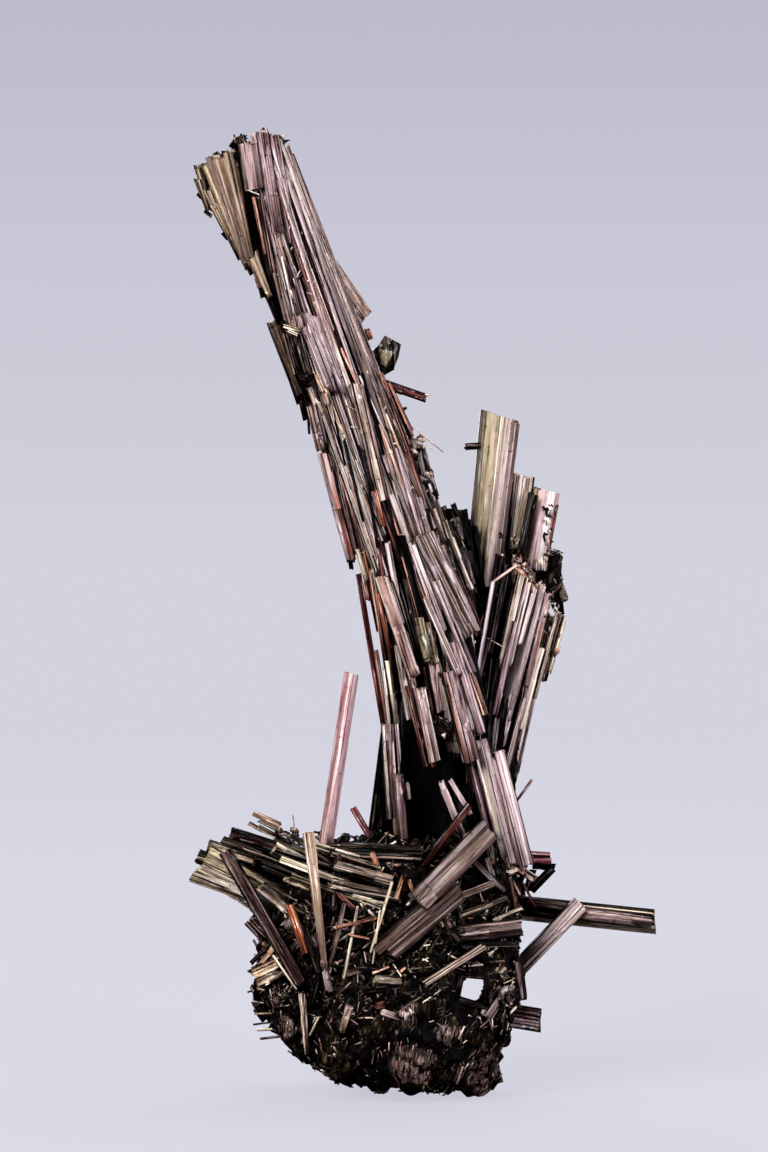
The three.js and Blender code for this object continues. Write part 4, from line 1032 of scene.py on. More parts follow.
def debris(count, low, high, size, seed, darkShare=0.5, way=(0.3, 0.0, -1.0), loose=1.0, blocky=False,
           pale=(0.5, 0.95)):
    # a heap of angular chips inside a box between two corners, their lengths near one way. A blocky heap
    # keeps its places, and the chips of the others are seated.
    rng = np.random.default_rng(seed)
    places = rng.uniform(low, high, (count, 3))
    ways = np.array(way) + loose * rng.normal(0, 1, (count, 3))
    # the least and the most of a chip's width, depth and length, as shares of its size
    narrow, wide = ([0.5, 0.5, 0.7], [0.9, 0.9, 1.2]) if blocky else ([0.3, 0.3, 1.0], [0.7, 0.6, 1.6])
    sizes = rng.uniform(*size, count)[:, None] * rng.uniform(narrow, wide, (count, 3))
    dark = rng.random(count) < darkShare
    facets = np.stack([np.where(dark, rng.uniform(-0.1, 0.15, count), rng.uniform(*pale, count)),
                       rng.uniform(0.1, 1, count), np.where(rng.random(count) > 0.85, 0.6, 0.05)], -1)
    if not blocky:
        places = seated(places, sizes)
    return chunks(places, ways, sizes, facets, seed)


# the green-black chip on the right side: a clutch of angular blocks, widest at the top, each with its
# place, its width, depth and length, and the way in which its length lies
greenChip = [
    ((-1.25, 1.4, 74.3), (3.2, 2.8, 4.0), (0.25, 0, 1)),
    ((-0.9, 1.4, 75.3), (1.8, 1.8, 2.3), (0.1, 0, 1)),
    ((-1.35, 1.4, 73.1), (2.1, 2.1, 2.4), (0.3, 0, 1)),
    ((-2.1, 1.2, 74.4), (1.7, 1.8, 2.6), (0.5, 0, 1)),
    ((-3.2, 0.6, 74.0), (1.9, 1.9, 2.4), (1, 0, 0)),
]
places, blockSizes, ways = np.array(greenChip).swapaxes(0, 1)
marks = np.tile([0.2, 0.9, 0.0], (len(greenChip), 1))
part = chunks(places, ways, blockSizes, marks, 66, corners=16)
makePiece("green_chip_crystal", [part], opaqueSchorl, ["green_chip"])

# dark crystals and laths between the bundle and the prisms on the right, and small ones on those prisms
rightRows = [
    (9.3, 0.1, 51.6, 7.5, -0.1, 41, 0.4, 1, 0.92, 0.1, 0.02),
    (9, 0, 46, 7.6, -0.2, 40.6, 0.4, 1, 0.86, 0.2, 0.05),
    (3.2, 0.6, 60, 6.6, 0.4, 50, 1, 1, 0.22, 0.7, 0.2),
    (4.4, 0.2, 57.6, 7.6, 0, 47, 0.9, 1, 0.4, 0.4, 0.15),
    (3.8, -0.8, 57, 6.6, -1, 49, 0.7, 1, 0.68, 0.2, 0.2),
    (5.6, -0.6, 54.4, 8, -0.8, 46, 0.8, 1, 0.3, 0.2, 0.15),
    (5, 1.8, 59, 7.6, 1.6, 48, 1.2, 1, 0.06, 0.5, 0.1),
    (6.6, 1.6, 57, 7.8, 1.4, 42, 1.2, 1, 0.05, 0.5, 0.1),
    (6.2, 2.6, 58.9, 7.4, 2.4, 50, 1.1, 1, 0.08, 0.5, 0.1),
    (6.4, 3, 65, 8.4, 3, 65.1, 0.7, 1, 0.12, 0.1, 0.05),
    (11.2, 4.4, 61.8, 10.4, 4.2, 52, 0.7, 1, 0.1, 0.4, 0.05),
    (13.9, 4.8, 61, 12.2, 4.4, 51, 0.8, 1, 0.12, 0.9, 0.05),
    (13.2, 4, 59.6, 11.4, 3.8, 51, 0.5, 1, 0.7, 0.9, 0.05),
    (15.8, 4.6, 59.4, 14.6, 4.4, 53, 0.6, 1, 0.3, 0.4, 0.2),
    (13.3, 3.4, 60.6, 11.9, 3.2, 53.4, 0.6, 1, 0.16, 0.9, 0.05),
    (12.7, 3.2, 60.9, 11.5, 3, 54.6, 0.4, 1, 0.56, 1, 0.05),
    (13.8, 3.5, 60.2, 12.4, 3.3, 54, 0.4, 1, 0.08, 0.6, 0.05),
    (11.4, 1.6, 53.6, 13.6, 1.8, 50.4, 0.8, 1, 0.74, 0.1, 0.05),
    (10.8, 1.8, 53.4, 9, 1.2, 44, 0.7, 1, 0.12, 0.3, 0.1),
    (12.9, 1.4, 51.6, 10.9, 1, 43, 0.6, 1, 0.82, 0.3, 0.05),
    (13.6, 1.6, 51, 11.9, 1.4, 45, 0.5, 1, 0.84, 0, 0.1),
    (11.6, 1.2, 47.6, 9.4, 0.8, 38, 0.8, 1, 0.66, 0.1, 0.15),
    (15, 3, 50.4, 12.8, 2.6, 40.6, 0.7, 1, 0.78, 0.1, 0.1),
    (15.9, 3.2, 48.4, 13.6, 2.8, 39.6, 0.5, 1, 0.86, 0.8, 0.1),
    (14.4, 2.6, 45, 12, 2, 36.4, 0.6, 1, 0.88, 0.4, 0.05),
    (13.5, 2.8, 42, 10.5, 2.2, 31.6, 0.6, 1, 0.2, 0.2, 0.2),
    (12.6, 2.2, 40, 10, 1.8, 30, 0.6, 1, 0.72, 0.1, 0.35),
    (16.6, 3.8, 47.6, 15, 3.6, 42, 0.4, 1, 0.9, 0.9, 0.2),
    (9.6, 0.9, 44, 8.2, 0.6, 33, 1, 1, 0.05, 0.3, 0.1),
    (10.4, 1.8, 40, 8.8, 1.2, 28, 1.2, 1, 0.08, 0.3, 0.1),
    (8.6, 0, 40, 8, -0.6, 27, 1.3, 1, 0.06, 0.3, 0.1),
    (7.2, -3.2, 35.8, 10.3, -3.7, 23.8, 0.5, 1, 0.82, 0.2, 0.1),
    (8.6, -3.3, 35.4, 11.6, -3.8, 23.4, 0.45, 1, 0.72, 0.2, 0.1),
    (9.2, -3, 34.2, 12.2, -3.5, 22.6, 0.4, 1, 0.84, 0.3, 0.3),
    (6.6, -2.4, 36, 9.2, -3, 25, 0.8, 1, 0.6, 0.1, 0.15),
    (10.4, -2.4, 32, 13.2, -2.8, 23.6, 0.5, 1, 0.66, 0.2, 0.6),
]
parts = crystalRows(rightRows, 800, ragged=0.4, steps=1, facetSize=0.2, spread=0.15, edgeRust=0.04)
makePiece("rightGroupLaths", parts, opaqueSchorl)

# small crystals about the foot
footRows = [
    (-20.4, -3, 24.4, -15.6, -3.3, 22.8, 1.5, 0.8, 0.6, 0.8, 0.05),
    (-19.4, -2.8, 25.4, -14.2, -3.2, 23.8, 1.2, 0.8, 0.44, 0.8, 0.08),
    (-18, -2.6, 26, -13.4, -3, 24.4, 0.9, 0.8, 0.2, 0.7, 0.1),
    (-14.4, -1.6, 27.2, -9.8, -2.2, 24.9, 0.6, 0.8, 0.5, 0.9, 0.08),
    (15.4, 0.2, 22.9, 13, 0.2, 20.4, 0.9, 1, 0.06, 0.2, 0.1),
    (-17, -1.4, 25.4, -8.6, -2.2, 23.2, 2, 0.7, -0.2, 0.8, 0.05),
    (-14.8, -5.8, 12.8, -12.4, -7, 15.6, 0.6, 0.8, 0.7, 0.9, 0.5),
    (-14.3, -6, 12.4, -11.9, -7.2, 15, 0.7, 0.8, 0.76, 0.9, 0.35),
    (-13.8, -6.2, 12.2, -11.5, -7.4, 14.2, 0.5, 0.8, 0.5, 0.8, 0.75),
    (-14.9, -5.6, 13.8, -13, -6.6, 15.8, 0.5, 0.8, 0.44, 0.7, 0.5),
    (-13.4, -6.4, 11.9, -11.3, -7.6, 13.4, 0.4, 0.8, 0.7, 0.9, 0.3),
    (-16.2, -1.6, 24, -8.2, -2.6, 21.4, 2.2, 0.7, -0.2, 0.8, 0.05),
    (-14.6, -1.8, 22.2, -8, -2.8, 19.6, 2.2, 0.7, -0.2, 0.8, 0.05),
    (-13.6, -1.4, 20.6, -8.4, -2.6, 17.6, 2.2, 0.7, -0.2, 0.8, 0.05),
    (-15.8, -3, 25.2, -9, -4, 22.8, 0.5, 0.8, 0.5, 0.85, 0.05),
    (-14.8, -3.2, 24.2, -8.6, -4.4, 22, 0.35, 0.8, 0.3, 0.9, 0.05),
    (-14, -3.4, 23.4, -8.8, -4.6, 21.2, 0.4, 0.8, 0.16, 0.9, 0.05),
    (-15.2, -3.6, 21.6, -10.8, -4.8, 18.6, 0.4, 0.8, 0.62, 0.6, 0.05),
    (-18.6, -4, 21.6, -12.8, -4.4, 18, 0.5, 0.8, 0.16, 0.5, 0.1),
    (-12.6, -4.6, 26.2, -8.2, -5.8, 24.6, 0.6, 0.7, 0.46, 0.9, 0.05),
    (-8.8, -5.8, 24.2, -1.6, -8, 21.9, 0.4, 0.8, 0.7, 0.8, 0.05),
    (-12, -5.8, 24.4, -0.4, -9.5, 20.4, 0.8, 0.6, 0.62, 0.95, 0.04),
    (-10.8, -6.8, 22.8, -1.6, -9.8, 19.8, 0.6, 0.6, 0.52, 0.9, 0.04),
    (-12.4, -5.4, 25.2, -1, -8.6, 21.6, 0.5, 0.6, 0.08, 0.9, 0.05),
    (-9, -5.4, 25.6, -1.8, -7.8, 23.6, 0.6, 0.6, 0.56, 0.95, 0.04),
    (-8.6, -6.6, 22.9, -1, -8.8, 20.9, 0.5, 0.8, 0.1, 0.8, 0.05),
    (-14.8, -1.2, 28.5, -11.8, -1.6, 27.2, 0.6, 1, 0.66, 0.8, 0.3),
    (-15.2, -1, 27.5, -13.6, -1.2, 26.6, 0.5, 1, 0.6, 0.8, 0.3),
    (-14.2, -1.6, 27.8, -10.6, -2.2, 26, 0.5, 1, 0.3, 0.7, 0.2),
    (-12.4, -4.8, 25.8, -9.4, -5.2, 24, 0.5, 0.8, 0.82, 0.9, 0.05),
    (-11.6, -6.2, 22.4, -8.8, -6.6, 21.3, 0.5, 0.8, 0.8, 0.9, 0.05),
    (-4.8, -9.2, 21.1, -1.4, -9.6, 20.3, 0.5, 0.8, 0.8, 0.9, 0.05),
    (-9.4, -5, 26, -3.8, -7.4, 24.6, 0.5, 0.8, 0.62, 0.9, 0.05),
    (-11, -4, 26.6, -6.4, -5.6, 23.6, 0.6, 0.8, 0.12, 0.9, 0.05),
    (-10.4, -5.4, 23.4, -6.6, -7.2, 21.6, 0.7, 0.8, 0.1, 0.6, 0.05),
    (-6.6, -10.6, 18, -2.2, -10.8, 19.1, 0.35, 1, 0.74, 0.4, 0.85),
    (-5.3, -10.6, 17.4, -2.8, -10.6, 16.9, 0.3, 1, 0.7, 0.4, 0.85),
    (0.8, -9.8, 22.7, 1.5, -10, 20.9, 0.5, 1, 0.74, 0.2, 0.9),
    (-6, -9.2, 21.2, -4.5, -9.6, 19.7, 0.5, 1, 0.46, 0.2, 0.8),
    (-15.2, -4.4, 18.2, -13.2, -4.6, 16.1, 1.2, 0.8, 0.34, 0.1, 0.1),
    (-2.8, -11.2, 13.1, 0.2, -11.1, 12.9, 0.8, 1, 0.74, 0.95, 0),
    (11.7, -5.6, 14.2, 12.2, -5.6, 10.1, 0.9, 1, 0.3, 0.1, 0.05),
    (11.3, -6, 12, 8.9, -7.6, 8.6, 0.8, 1, 0.24, 0.2, 0.05),
    (12, 0.8, 19, 18.2, 0.6, 18.3, 1.8, 0.6, 0.14, 0.5, 0.1),
    (17.9, -0.5, 18.35, 25.4, -0.6, 17.45, 1.25, 0.5, 0.64, 0.3, 0.05),
    (18, 0.6, 18.9, 25.6, 0.5, 18.1, 0.35, 1, 0.88, 0.9, 0.1),
    (17.8, 0.4, 17.6, 25.5, 0.3, 16.8, 0.3, 1, 0.16, 0.2, 0.1),
    (10.8, -3, 22.7, 12, -3, 20.2, 0.35, 1, 0.66, 0.4, 0.8),
    (12, -2.6, 21.9, 13.6, -2.6, 19, 0.35, 1, 0.66, 0.4, 0.8),
    (13, 0.2, 23, 15.8, 0.2, 22.9, 0.7, 1, 0.06, 0.2, 0.2),
    (13.4, 0.2, 22.8, 12.6, 0.2, 20.4, 0.7, 1, 0.06, 0.2, 0.2),
    (4.2, -9.4, 20.4, 9.4, -7.6, 22.2, 0.8, 0.8, 0.34, 0.5, 0.05),
    (5.6, -9.6, 19, 10.6, -7.4, 20.6, 0.7, 0.8, 0.4, 0.7, 0.05),
    (7, -8.4, 24.4, 10.4, -6.4, 21, 0.8, 0.8, 0.28, 0.4, 0.1),
    (5.8, -9.9, 16.2, 11.8, -6.5, 16, 0.6, 0.8, 0.34, 0.5, 0.05),
    (9, -8, 18.4, 12.2, -5, 19.4, 0.5, 0.8, 0.44, 0.6, 0.05),
    (2.6, -10.8, 15.4, 5, -10.4, 19.4, 0.5, 0.8, 0.3, 0.9, 0.05),
    (-8.4, -10, 17.6, -7.7, -10.6, 13.6, 0.9, 0.8, 0.44, 0.2, 0.15),
    (-7.5, -9.8, 14.4, -6.9, -10.2, 11.6, 0.8, 0.8, 0.5, 0.3, 0.05),
    (-5.4, -9.8, 20.6, -6.9, -10.6, 14.2, 0.5, 0.8, 0.3, 0.7, 0.2),
    (-4.2, -10.2, 20.2, -5.6, -10.8, 13, 0.35, 0.8, 0.72, 0.9, 0.05),
]
parts = crystalRows(footRows, 900, ragged=0.35, steps=1, facetSize=0.24, spread=0.14)
makePiece("footSplinters", parts, opaqueSchorl)

pair = [((1.9, -5.4, 48.3), (2.9, -5.6, 43.8)), ((2.6, -5.2, 47.8), (3.6, -5.4, 43.4))]
parts = [crystal(*ends, 0.9, 1.0, seed=520 + i, tone=0.62, hue=0.9, rust=0.1)
         for i, ends in enumerate(pair)]
makePiece("yellowPair", parts, opaqueSchorl, ["yellow_pair"])
print("splinters, shard, hairs and green chip made")


# The foot and the side rock. A see-through hole, the window, runs through the foot's right side from front
# to back.
window = {
    "x": 7.2, "y": -4.2, "z": 11.1,             # the middle of its line
    "slope": 0.13,                              # how far it sinks for each millimetre towards the back
    "sinkEnds": 5.0, "sinkFades": 2.6,          # skin farther from the line than this stays; it fades over
    "squareEnds": 3.2, "squareFades": 1.6,      # the same for the widening towards the corners
    "turned": 0.2, "widened": 1.14,             # radians, and how many times as wide
    "bare": (2.4, 2.6),                         # no chips within this of the line, in x and in z
    "ring": (1.8, 3.8),                         # chips of its own between these distances
    "frame": [((5.5, 9.9), (6.1, 12.9)), ((5.8, 12.65), (8.6, 12.4)), ((8.35, 12.6), (8.6, 9.3)),
              ((5.4, 10.3), (8.8, 9.3))],       # dark crystals round its mouth: x and z of both ends
}


def fromWindow(points):
    # how far points lie from the window's line to the right, upwards and straight
    x, z = points[:, 0] - window["x"], points[:, 2] - window["z"]
    return x, z, np.hypot(x, z)


def windowDrop(points):
    # how far skin near the window sinks: the slope times the distance behind the line's middle, fading with
    # distance from the line, so that the window falls away from the eye and shows light
    fade = np.clip((window["sinkEnds"] - fromWindow(points)[2]) / window["sinkFades"], 0, 1)
    return window["slope"] * (points[:, 1] - window["y"]) * fade


def squareWindow(points):
    # draws skin near the window away from its line by a superellipse, by more towards the diagonals, so
    # that the round hole becomes four-sided
    x, z, away = fromWindow(points)
    away = np.maximum(away, 1e-6)
    turned = np.arctan2(z, x) + window["turned"]
    stretch = (np.abs(np.cos(turned)) ** 8 + np.abs(np.sin(turned)) ** 8) ** -0.125
    fade = np.clip((window["squareEnds"] - away) / window["squareFades"], 0, 1)
    stretch = 1 + (window["widened"] * stretch - 1) * fade
    points[:, 0], points[:, 2] = window["x"] + x * stretch, window["z"] + z * stretch


def roughCopy(node, voxel, lift, seed):
    # the CAD lump's own shape, remeshed evenly and roughened by a sum of sine waves 0.7 to 4 mm long that
    # run in many directions, with an uneven underside
    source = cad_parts[node].data.copy()
    lump = bpy.data.objects.new("lumpDraft", source)
    bpy.context.scene.collection.objects.link(lump)
    weld = lump.modifiers.new("weld", "WELD")
    weld.merge_threshold = 1e-6
    remesh = lump.modifiers.new("remesh", "REMESH")
    remesh.mode = "VOXEL"
    remesh.voxel_size = voxel * mm
    done = lump.evaluated_get(bpy.context.evaluated_depsgraph_get()).to_mesh()
    points = np.empty(3 * len(done.vertices), np.float32)
    normals = np.empty(3 * len(done.vertices), np.float32)
    done.vertices.foreach_get("co", points)
    done.vertex_normals.foreach_get("vector", normals)
    points, normals = points.reshape(-1, 3).astype(float) / mm, normals.reshape(-1, 3).astype(float)
    loops = np.empty(len(done.loops), np.int32)
    done.loops.foreach_get("vertex_index", loops)
    quads = loops.reshape(-1, 4)
    rng = np.random.default_rng(seed)
    rise = np.zeros(len(points))
    waves = 5     # of each length
    for size, share in ((4.0, 0.5), (2.0, 0.45), (1.1, 0.4), (0.7, 0.25)):
        for _ in range(waves):
            way = unit(rng.normal(0, 1, 3)) * 2 * np.pi / size
            rise += share * np.sin(points @ way + rng.uniform(0, 6.3)) / waves
    if node == "matrix":
        squareWindow(points)
    points[:, 2] -= windowDrop(points)
    away = fromWindow(points + windowDrop(points)[:, None] * up)[2]
    # the waves fade out towards the flat cut and towards the window
    keep = np.clip(points[:, 2] / 1.2, 0, 1) * np.clip((away - 2.0) / 1.5, 0, 1)
    points += normals * (lift * (rise - 0.35) * keep)[:, None]
    # the underside is hollowed by up to 2.2 mm, by two waves and by less towards the right
    hollow = 0.9 + 0.9 * np.sin(0.9 * points[:, 0] + 0.6) * np.sin(0.7 * points[:, 1] - 0.4)
    hollow += 0.35 * np.sin(2.3 * points[:, 0] + 1.7 * points[:, 1]) - 0.12 * (points[:, 0] - 5)
    points[:, 2] = np.maximum(points[:, 2], np.clip(hollow, 0, 2.2))
    lump.evaluated_get(bpy.context.evaluated_depsgraph_get()).to_mesh_clear()
    bpy.data.objects.remove(lump)
    return points, quads, normals


def rockPart(points, quads):
    # the lump as one closed skin, each face marked with its shares of mauve-grey and olive
    middle = points[quads].mean(1)
    grey, olive = paleness(middle), nearPatches(middle, olivePatches)
    return {"points": points, "faces": [(quads, points[quads][..., ::2],
                                         np.stack([grey, olive, 0 * grey], 1))]}


def scatter(points, quads, normals, count, rng, allowed):
    # places spread over the lump's skin by area, with the skin's own outward direction at each
    corners = points[quads]
    area = np.linalg.norm(np.cross(corners[:, 2] - corners[:, 0], corners[:, 3] - corners[:, 1]), axis=1)
    middle = corners.mean(1)
    share = area * allowed(middle)
    chosen = rng.choice(len(quads), count, p=share / share.sum())
    return middle[chosen], unit(normals[quads[chosen]].mean(1))


# the mauve-grey patches on the rock's front and the olive ones beside them: middle x and z, width, height
greyPatches = [(1.2, 4.2, 5.0, 4.0), (8.3, 3.2, 3.0, 5.4), (-7.6, 3.0, 2.8, 1.6), (-11.2, 7.8, 1.6, 3.0),
               (0.5, 9.6, 1.8, 2.4), (4.8, 7.4, 2.4, 2.2), (5.4, 3.2, 1.4, 2.2), (-12.4, 10.4, 1.2, 1.4)]
olivePatches = [(-5.4, 6.2, 4.6, 3.6), (-1.2, 10.4, 2.6, 2.0), (-5.0, 13.0, 3.4, 3.0), (3.4, 13.6, 3.6, 2.4),
                (6.6, 16.8, 3.4, 2.0), (-9.6, 12.2, 2.2, 3.0), (4.4, 10.6, 2.0, 1.6)]


def nearPatches(points, rows):
    # 1 in the middle of each patch, fading as a bell curve: e to the minus squared distance over size
    level = np.zeros(len(points))
    for x, z, width, height in rows:
        level = np.maximum(level, np.exp(-((points[:, 0] - x) / (0.6 * width)) ** 2
                                         - ((points[:, 2] - z) / (0.55 * height)) ** 2))
    return level


def paleness(points):
    # 1 in the middle of each mauve-grey patch low on the rock's front and 0 outside it; on the other sides,
    # soft patches from two sine waves
    level = nearPatches(points, greyPatches)
    other = np.sin(1.3 * points[:, 0] + 0.7 * points[:, 2]) * np.sin(1.1 * points[:, 1] - 0.9 * points[:, 2])
    return np.where(points[:, 1] < -2, level, np.clip(other, 0, 1)) * np.clip((13 - points[:, 2]) / 4, 0, 1)


def matted(lump, count, seed, length, width, turn, spread, rise, allowed, sides=6):
    # chips that lie in the skin: each runs at an angle from the level, in the skin's own plane, and its
    # ends rise from it by a little. turn and spread give the angle's middle and deviation, in degrees
    rng = np.random.default_rng(seed)
    roots, out = scatter(*lump, count, rng, allowed)
    upward = unit(up - (out @ up)[:, None] * out + [1e-4, 0, 0])
    sideways = np.cross(upward, out)
    angle = np.radians(turn + spread * rng.normal(0, 1, count))[:, None]
    way = unit(np.cos(angle) * sideways + np.sin(angle) * upward + rise * rng.normal(0, 1, (count, 1)) * out)
    size = rng.uniform(*length, count)[:, None] * rng.uniform(0.5, 1, (count, 1))
    wide = rng.uniform(*width, count)
    roots = roots + out * (0.25 * wide * rng.uniform(-0.5, 1, count))[:, None]
    starts, ends = roots - way * size / 2, roots + way * size / 2
    for tips in (starts, ends):
        tips[:, 2] = np.maximum(tips[:, 2], 0.5 * wide + 0.1)
    # a few bright chips, some half as bright, more of them in mauve-grey patches, and dark ones
    bright, patch = rng.random(count), paleness(roots)
    tone = np.where(bright > 0.92, rng.uniform(0.7, 1, count),
                    np.where(bright > 0.68 - 0.5 * patch, rng.uniform(0.26, 0.5, count),
                             rng.uniform(-0.1, 0.18, count)))
    warm = rng.random(count)
    facets = np.stack([tone, np.where(warm > 0.15 + 0.45 * patch, rng.uniform(0.6, 1, count),
                                      rng.uniform(0, 0.3, count)),
                       np.where(rng.random(count) > 0.86, rng.uniform(0.5, 0.9, count), 0.12)], -1)
    return needles(starts, ends, wide, wide * rng.uniform(0.5, 1, count), facets, seed, sides)


def mattedPrisms(lump, count, seed, length, width, turn, spread, allowed, brightShare=0.2):
    # larger striated crystals half sunk in the skin, by the same rule of angles
    rng = np.random.default_rng(seed)
    roots, out = scatter(*lump, count, rng, allowed)
    parts = []
    for i in range(count):
        upward = unit(up - (out[i] @ up) * out[i])
        sideways = np.cross(upward, out[i])
        angle = math.radians(turn + spread * rng.normal())
        way = unit(math.cos(angle) * sideways + math.sin(angle) * upward + 0.16 * rng.normal() * out[i])
        size, wide = rng.uniform(*length), rng.uniform(*width)
        middle = roots[i] + out[i] * wide * rng.uniform(-0.1, 0.35)
        start, end = middle + way * size / 2, middle - way * size / 2
        lowest = min(start[2], end[2])
        lift = max(0, 0.6 * wide + 0.15 - lowest)
        start[2], end[2] = start[2] + lift, end[2] + lift
        bright = rng.random()
        tone = rng.uniform(0.45, 0.66) if bright < brightShare else rng.uniform(-0.05, 0.28)
        parts.append(crystal(start, end, wide, wide * rng.uniform(0.6, 1), seed=seed + i, facing=out[i],
                             tone=tone, hue=rng.choice([0.4, 0.7, 0.95]), steps=1, facetSize=0.24,
                             rust=rng.choice([0.05, 0.15, 0.7], p=[0.6, 0.28, 0.12])))
    return parts


def zone(low, high):
    # 1 for skin between two heights that is clear of the window and of the very bottom
    def clear(middle):
        x, z, _ = fromWindow(middle)
        inWindow = (np.abs(x) < window["bare"][0]) & (np.abs(z) < window["bare"][1])
        return ~inWindow & (middle[:, 2] > 0.7) & (middle[:, 2] > low) & (middle[:, 2] < high)
    return clear


def clumps(middle):
    # how thickly fibres stand: in the mauve-grey patches low on the rock
    return zone(0.7, 12)(middle) * paleness(middle) ** 2


def betweenPatches(middle):
    # the other way about: thinly in the patches and thickly outside them
    return zone(0.7, 12)(middle) * (1 - 0.8 * paleness(middle))


def roundWindow(middle):
    # a ring of skin round the window's mouths
    away = fromWindow(middle)[2]
    return (away > window["ring"][0]) & (away < window["ring"][1])


# each rock has its skin, its beds of chips (count, seed, lengths, widths, turn, spread, rise and where) and
# its beds of prisms (count, seed, lengths, widths, turn, spread, where and share of bright ones)
foot = {
    "skin": {"voxel": 0.38, "lift": 1.0, "seed": 31},
    "chips": [
        (1500, 301, (0.5, 2.0), (0.1, 0.28), 76, 30, 0.14, betweenPatches),
        (700, 305, (0.8, 2.8), (0.1, 0.3), 88, 8, 0.07, clumps),
        (420, 306, (0.4, 1.3), (0.12, 0.32), 50, 60, 0.25, roundWindow),
        (2900, 302, (0.6, 2.8), (0.1, 0.36), 50, 50, 0.22, zone(9, 20)),
        (1300, 303, (0.8, 3.2), (0.12, 0.4), 30, 70, 0.30, zone(17, 30)),
    ],
    "prisms": [
        (40, 3100, (1.4, 3.4), (0.4, 0.9), 80, 26, zone(1.5, 10), 0.12),
        (150, 3300, (1.6, 4.6), (0.3, 0.9), 45, 50, zone(9, 18), 0.2),
        (150, 3500, (2.0, 6.0), (0.3, 1.0), 20, 70, zone(17, 29), 0.2),
    ],
}
lump = roughCopy("matrix", **foot["skin"])
makePiece("footRock", [rockPart(*lump[:2])], rock, ["matrix"])
chips = [matted(lump, *bed, sides=5) for bed in foot["chips"]]
x, z, _ = fromWindow(lump[0])
mouth = lump[0][(np.abs(x) < 2.2) & (np.abs(z) < 2.2)]
edge = mouth[:, 1].min() + 0.6                       # just behind the window's front mouth
raised = -window["slope"] * (edge - window["y"])     # the line lies higher there
windowFrame = [crystal((a, edge, b + raised), (c, edge, d + raised), 0.5, 1.2, seed=3900 + i, tone=0.02,
                       steps=0)
               for i, ((a, b), (c, d)) in enumerate(window["frame"])]
makePiece("footWindowFrame", windowFrame, opaqueSchorl)
makePiece("footChips", chips, opaqueSchorl)
prisms = [prism for bed in foot["prisms"] for prism in mattedPrisms(lump, *bed)]
makePiece("footPrisms", prisms, opaqueSchorl)

sideRock = {
    "skin": {"voxel": 0.35, "lift": 0.5, "seed": 41},
    "chips": (900, 304, (0.6, 2.6), (0.1, 0.36), 70, 35, 0.2, zone(32, 60)),
    "prisms": (90, 3700, (3, 9), (0.4, 1.1), 76, 14, zone(39, 56)),
}
lump = roughCopy("side_matrix", **sideRock["skin"])
makePiece("sideRock", [rockPart(*lump[:2])], rock, ["side_matrix"])
makePiece("sideChips", [matted(lump, *sideRock["chips"])], opaqueSchorl)
makePiece("sidePrisms", mattedPrisms(lump, *sideRock["prisms"]), opaqueSchorl)
print("foot and side rock made")

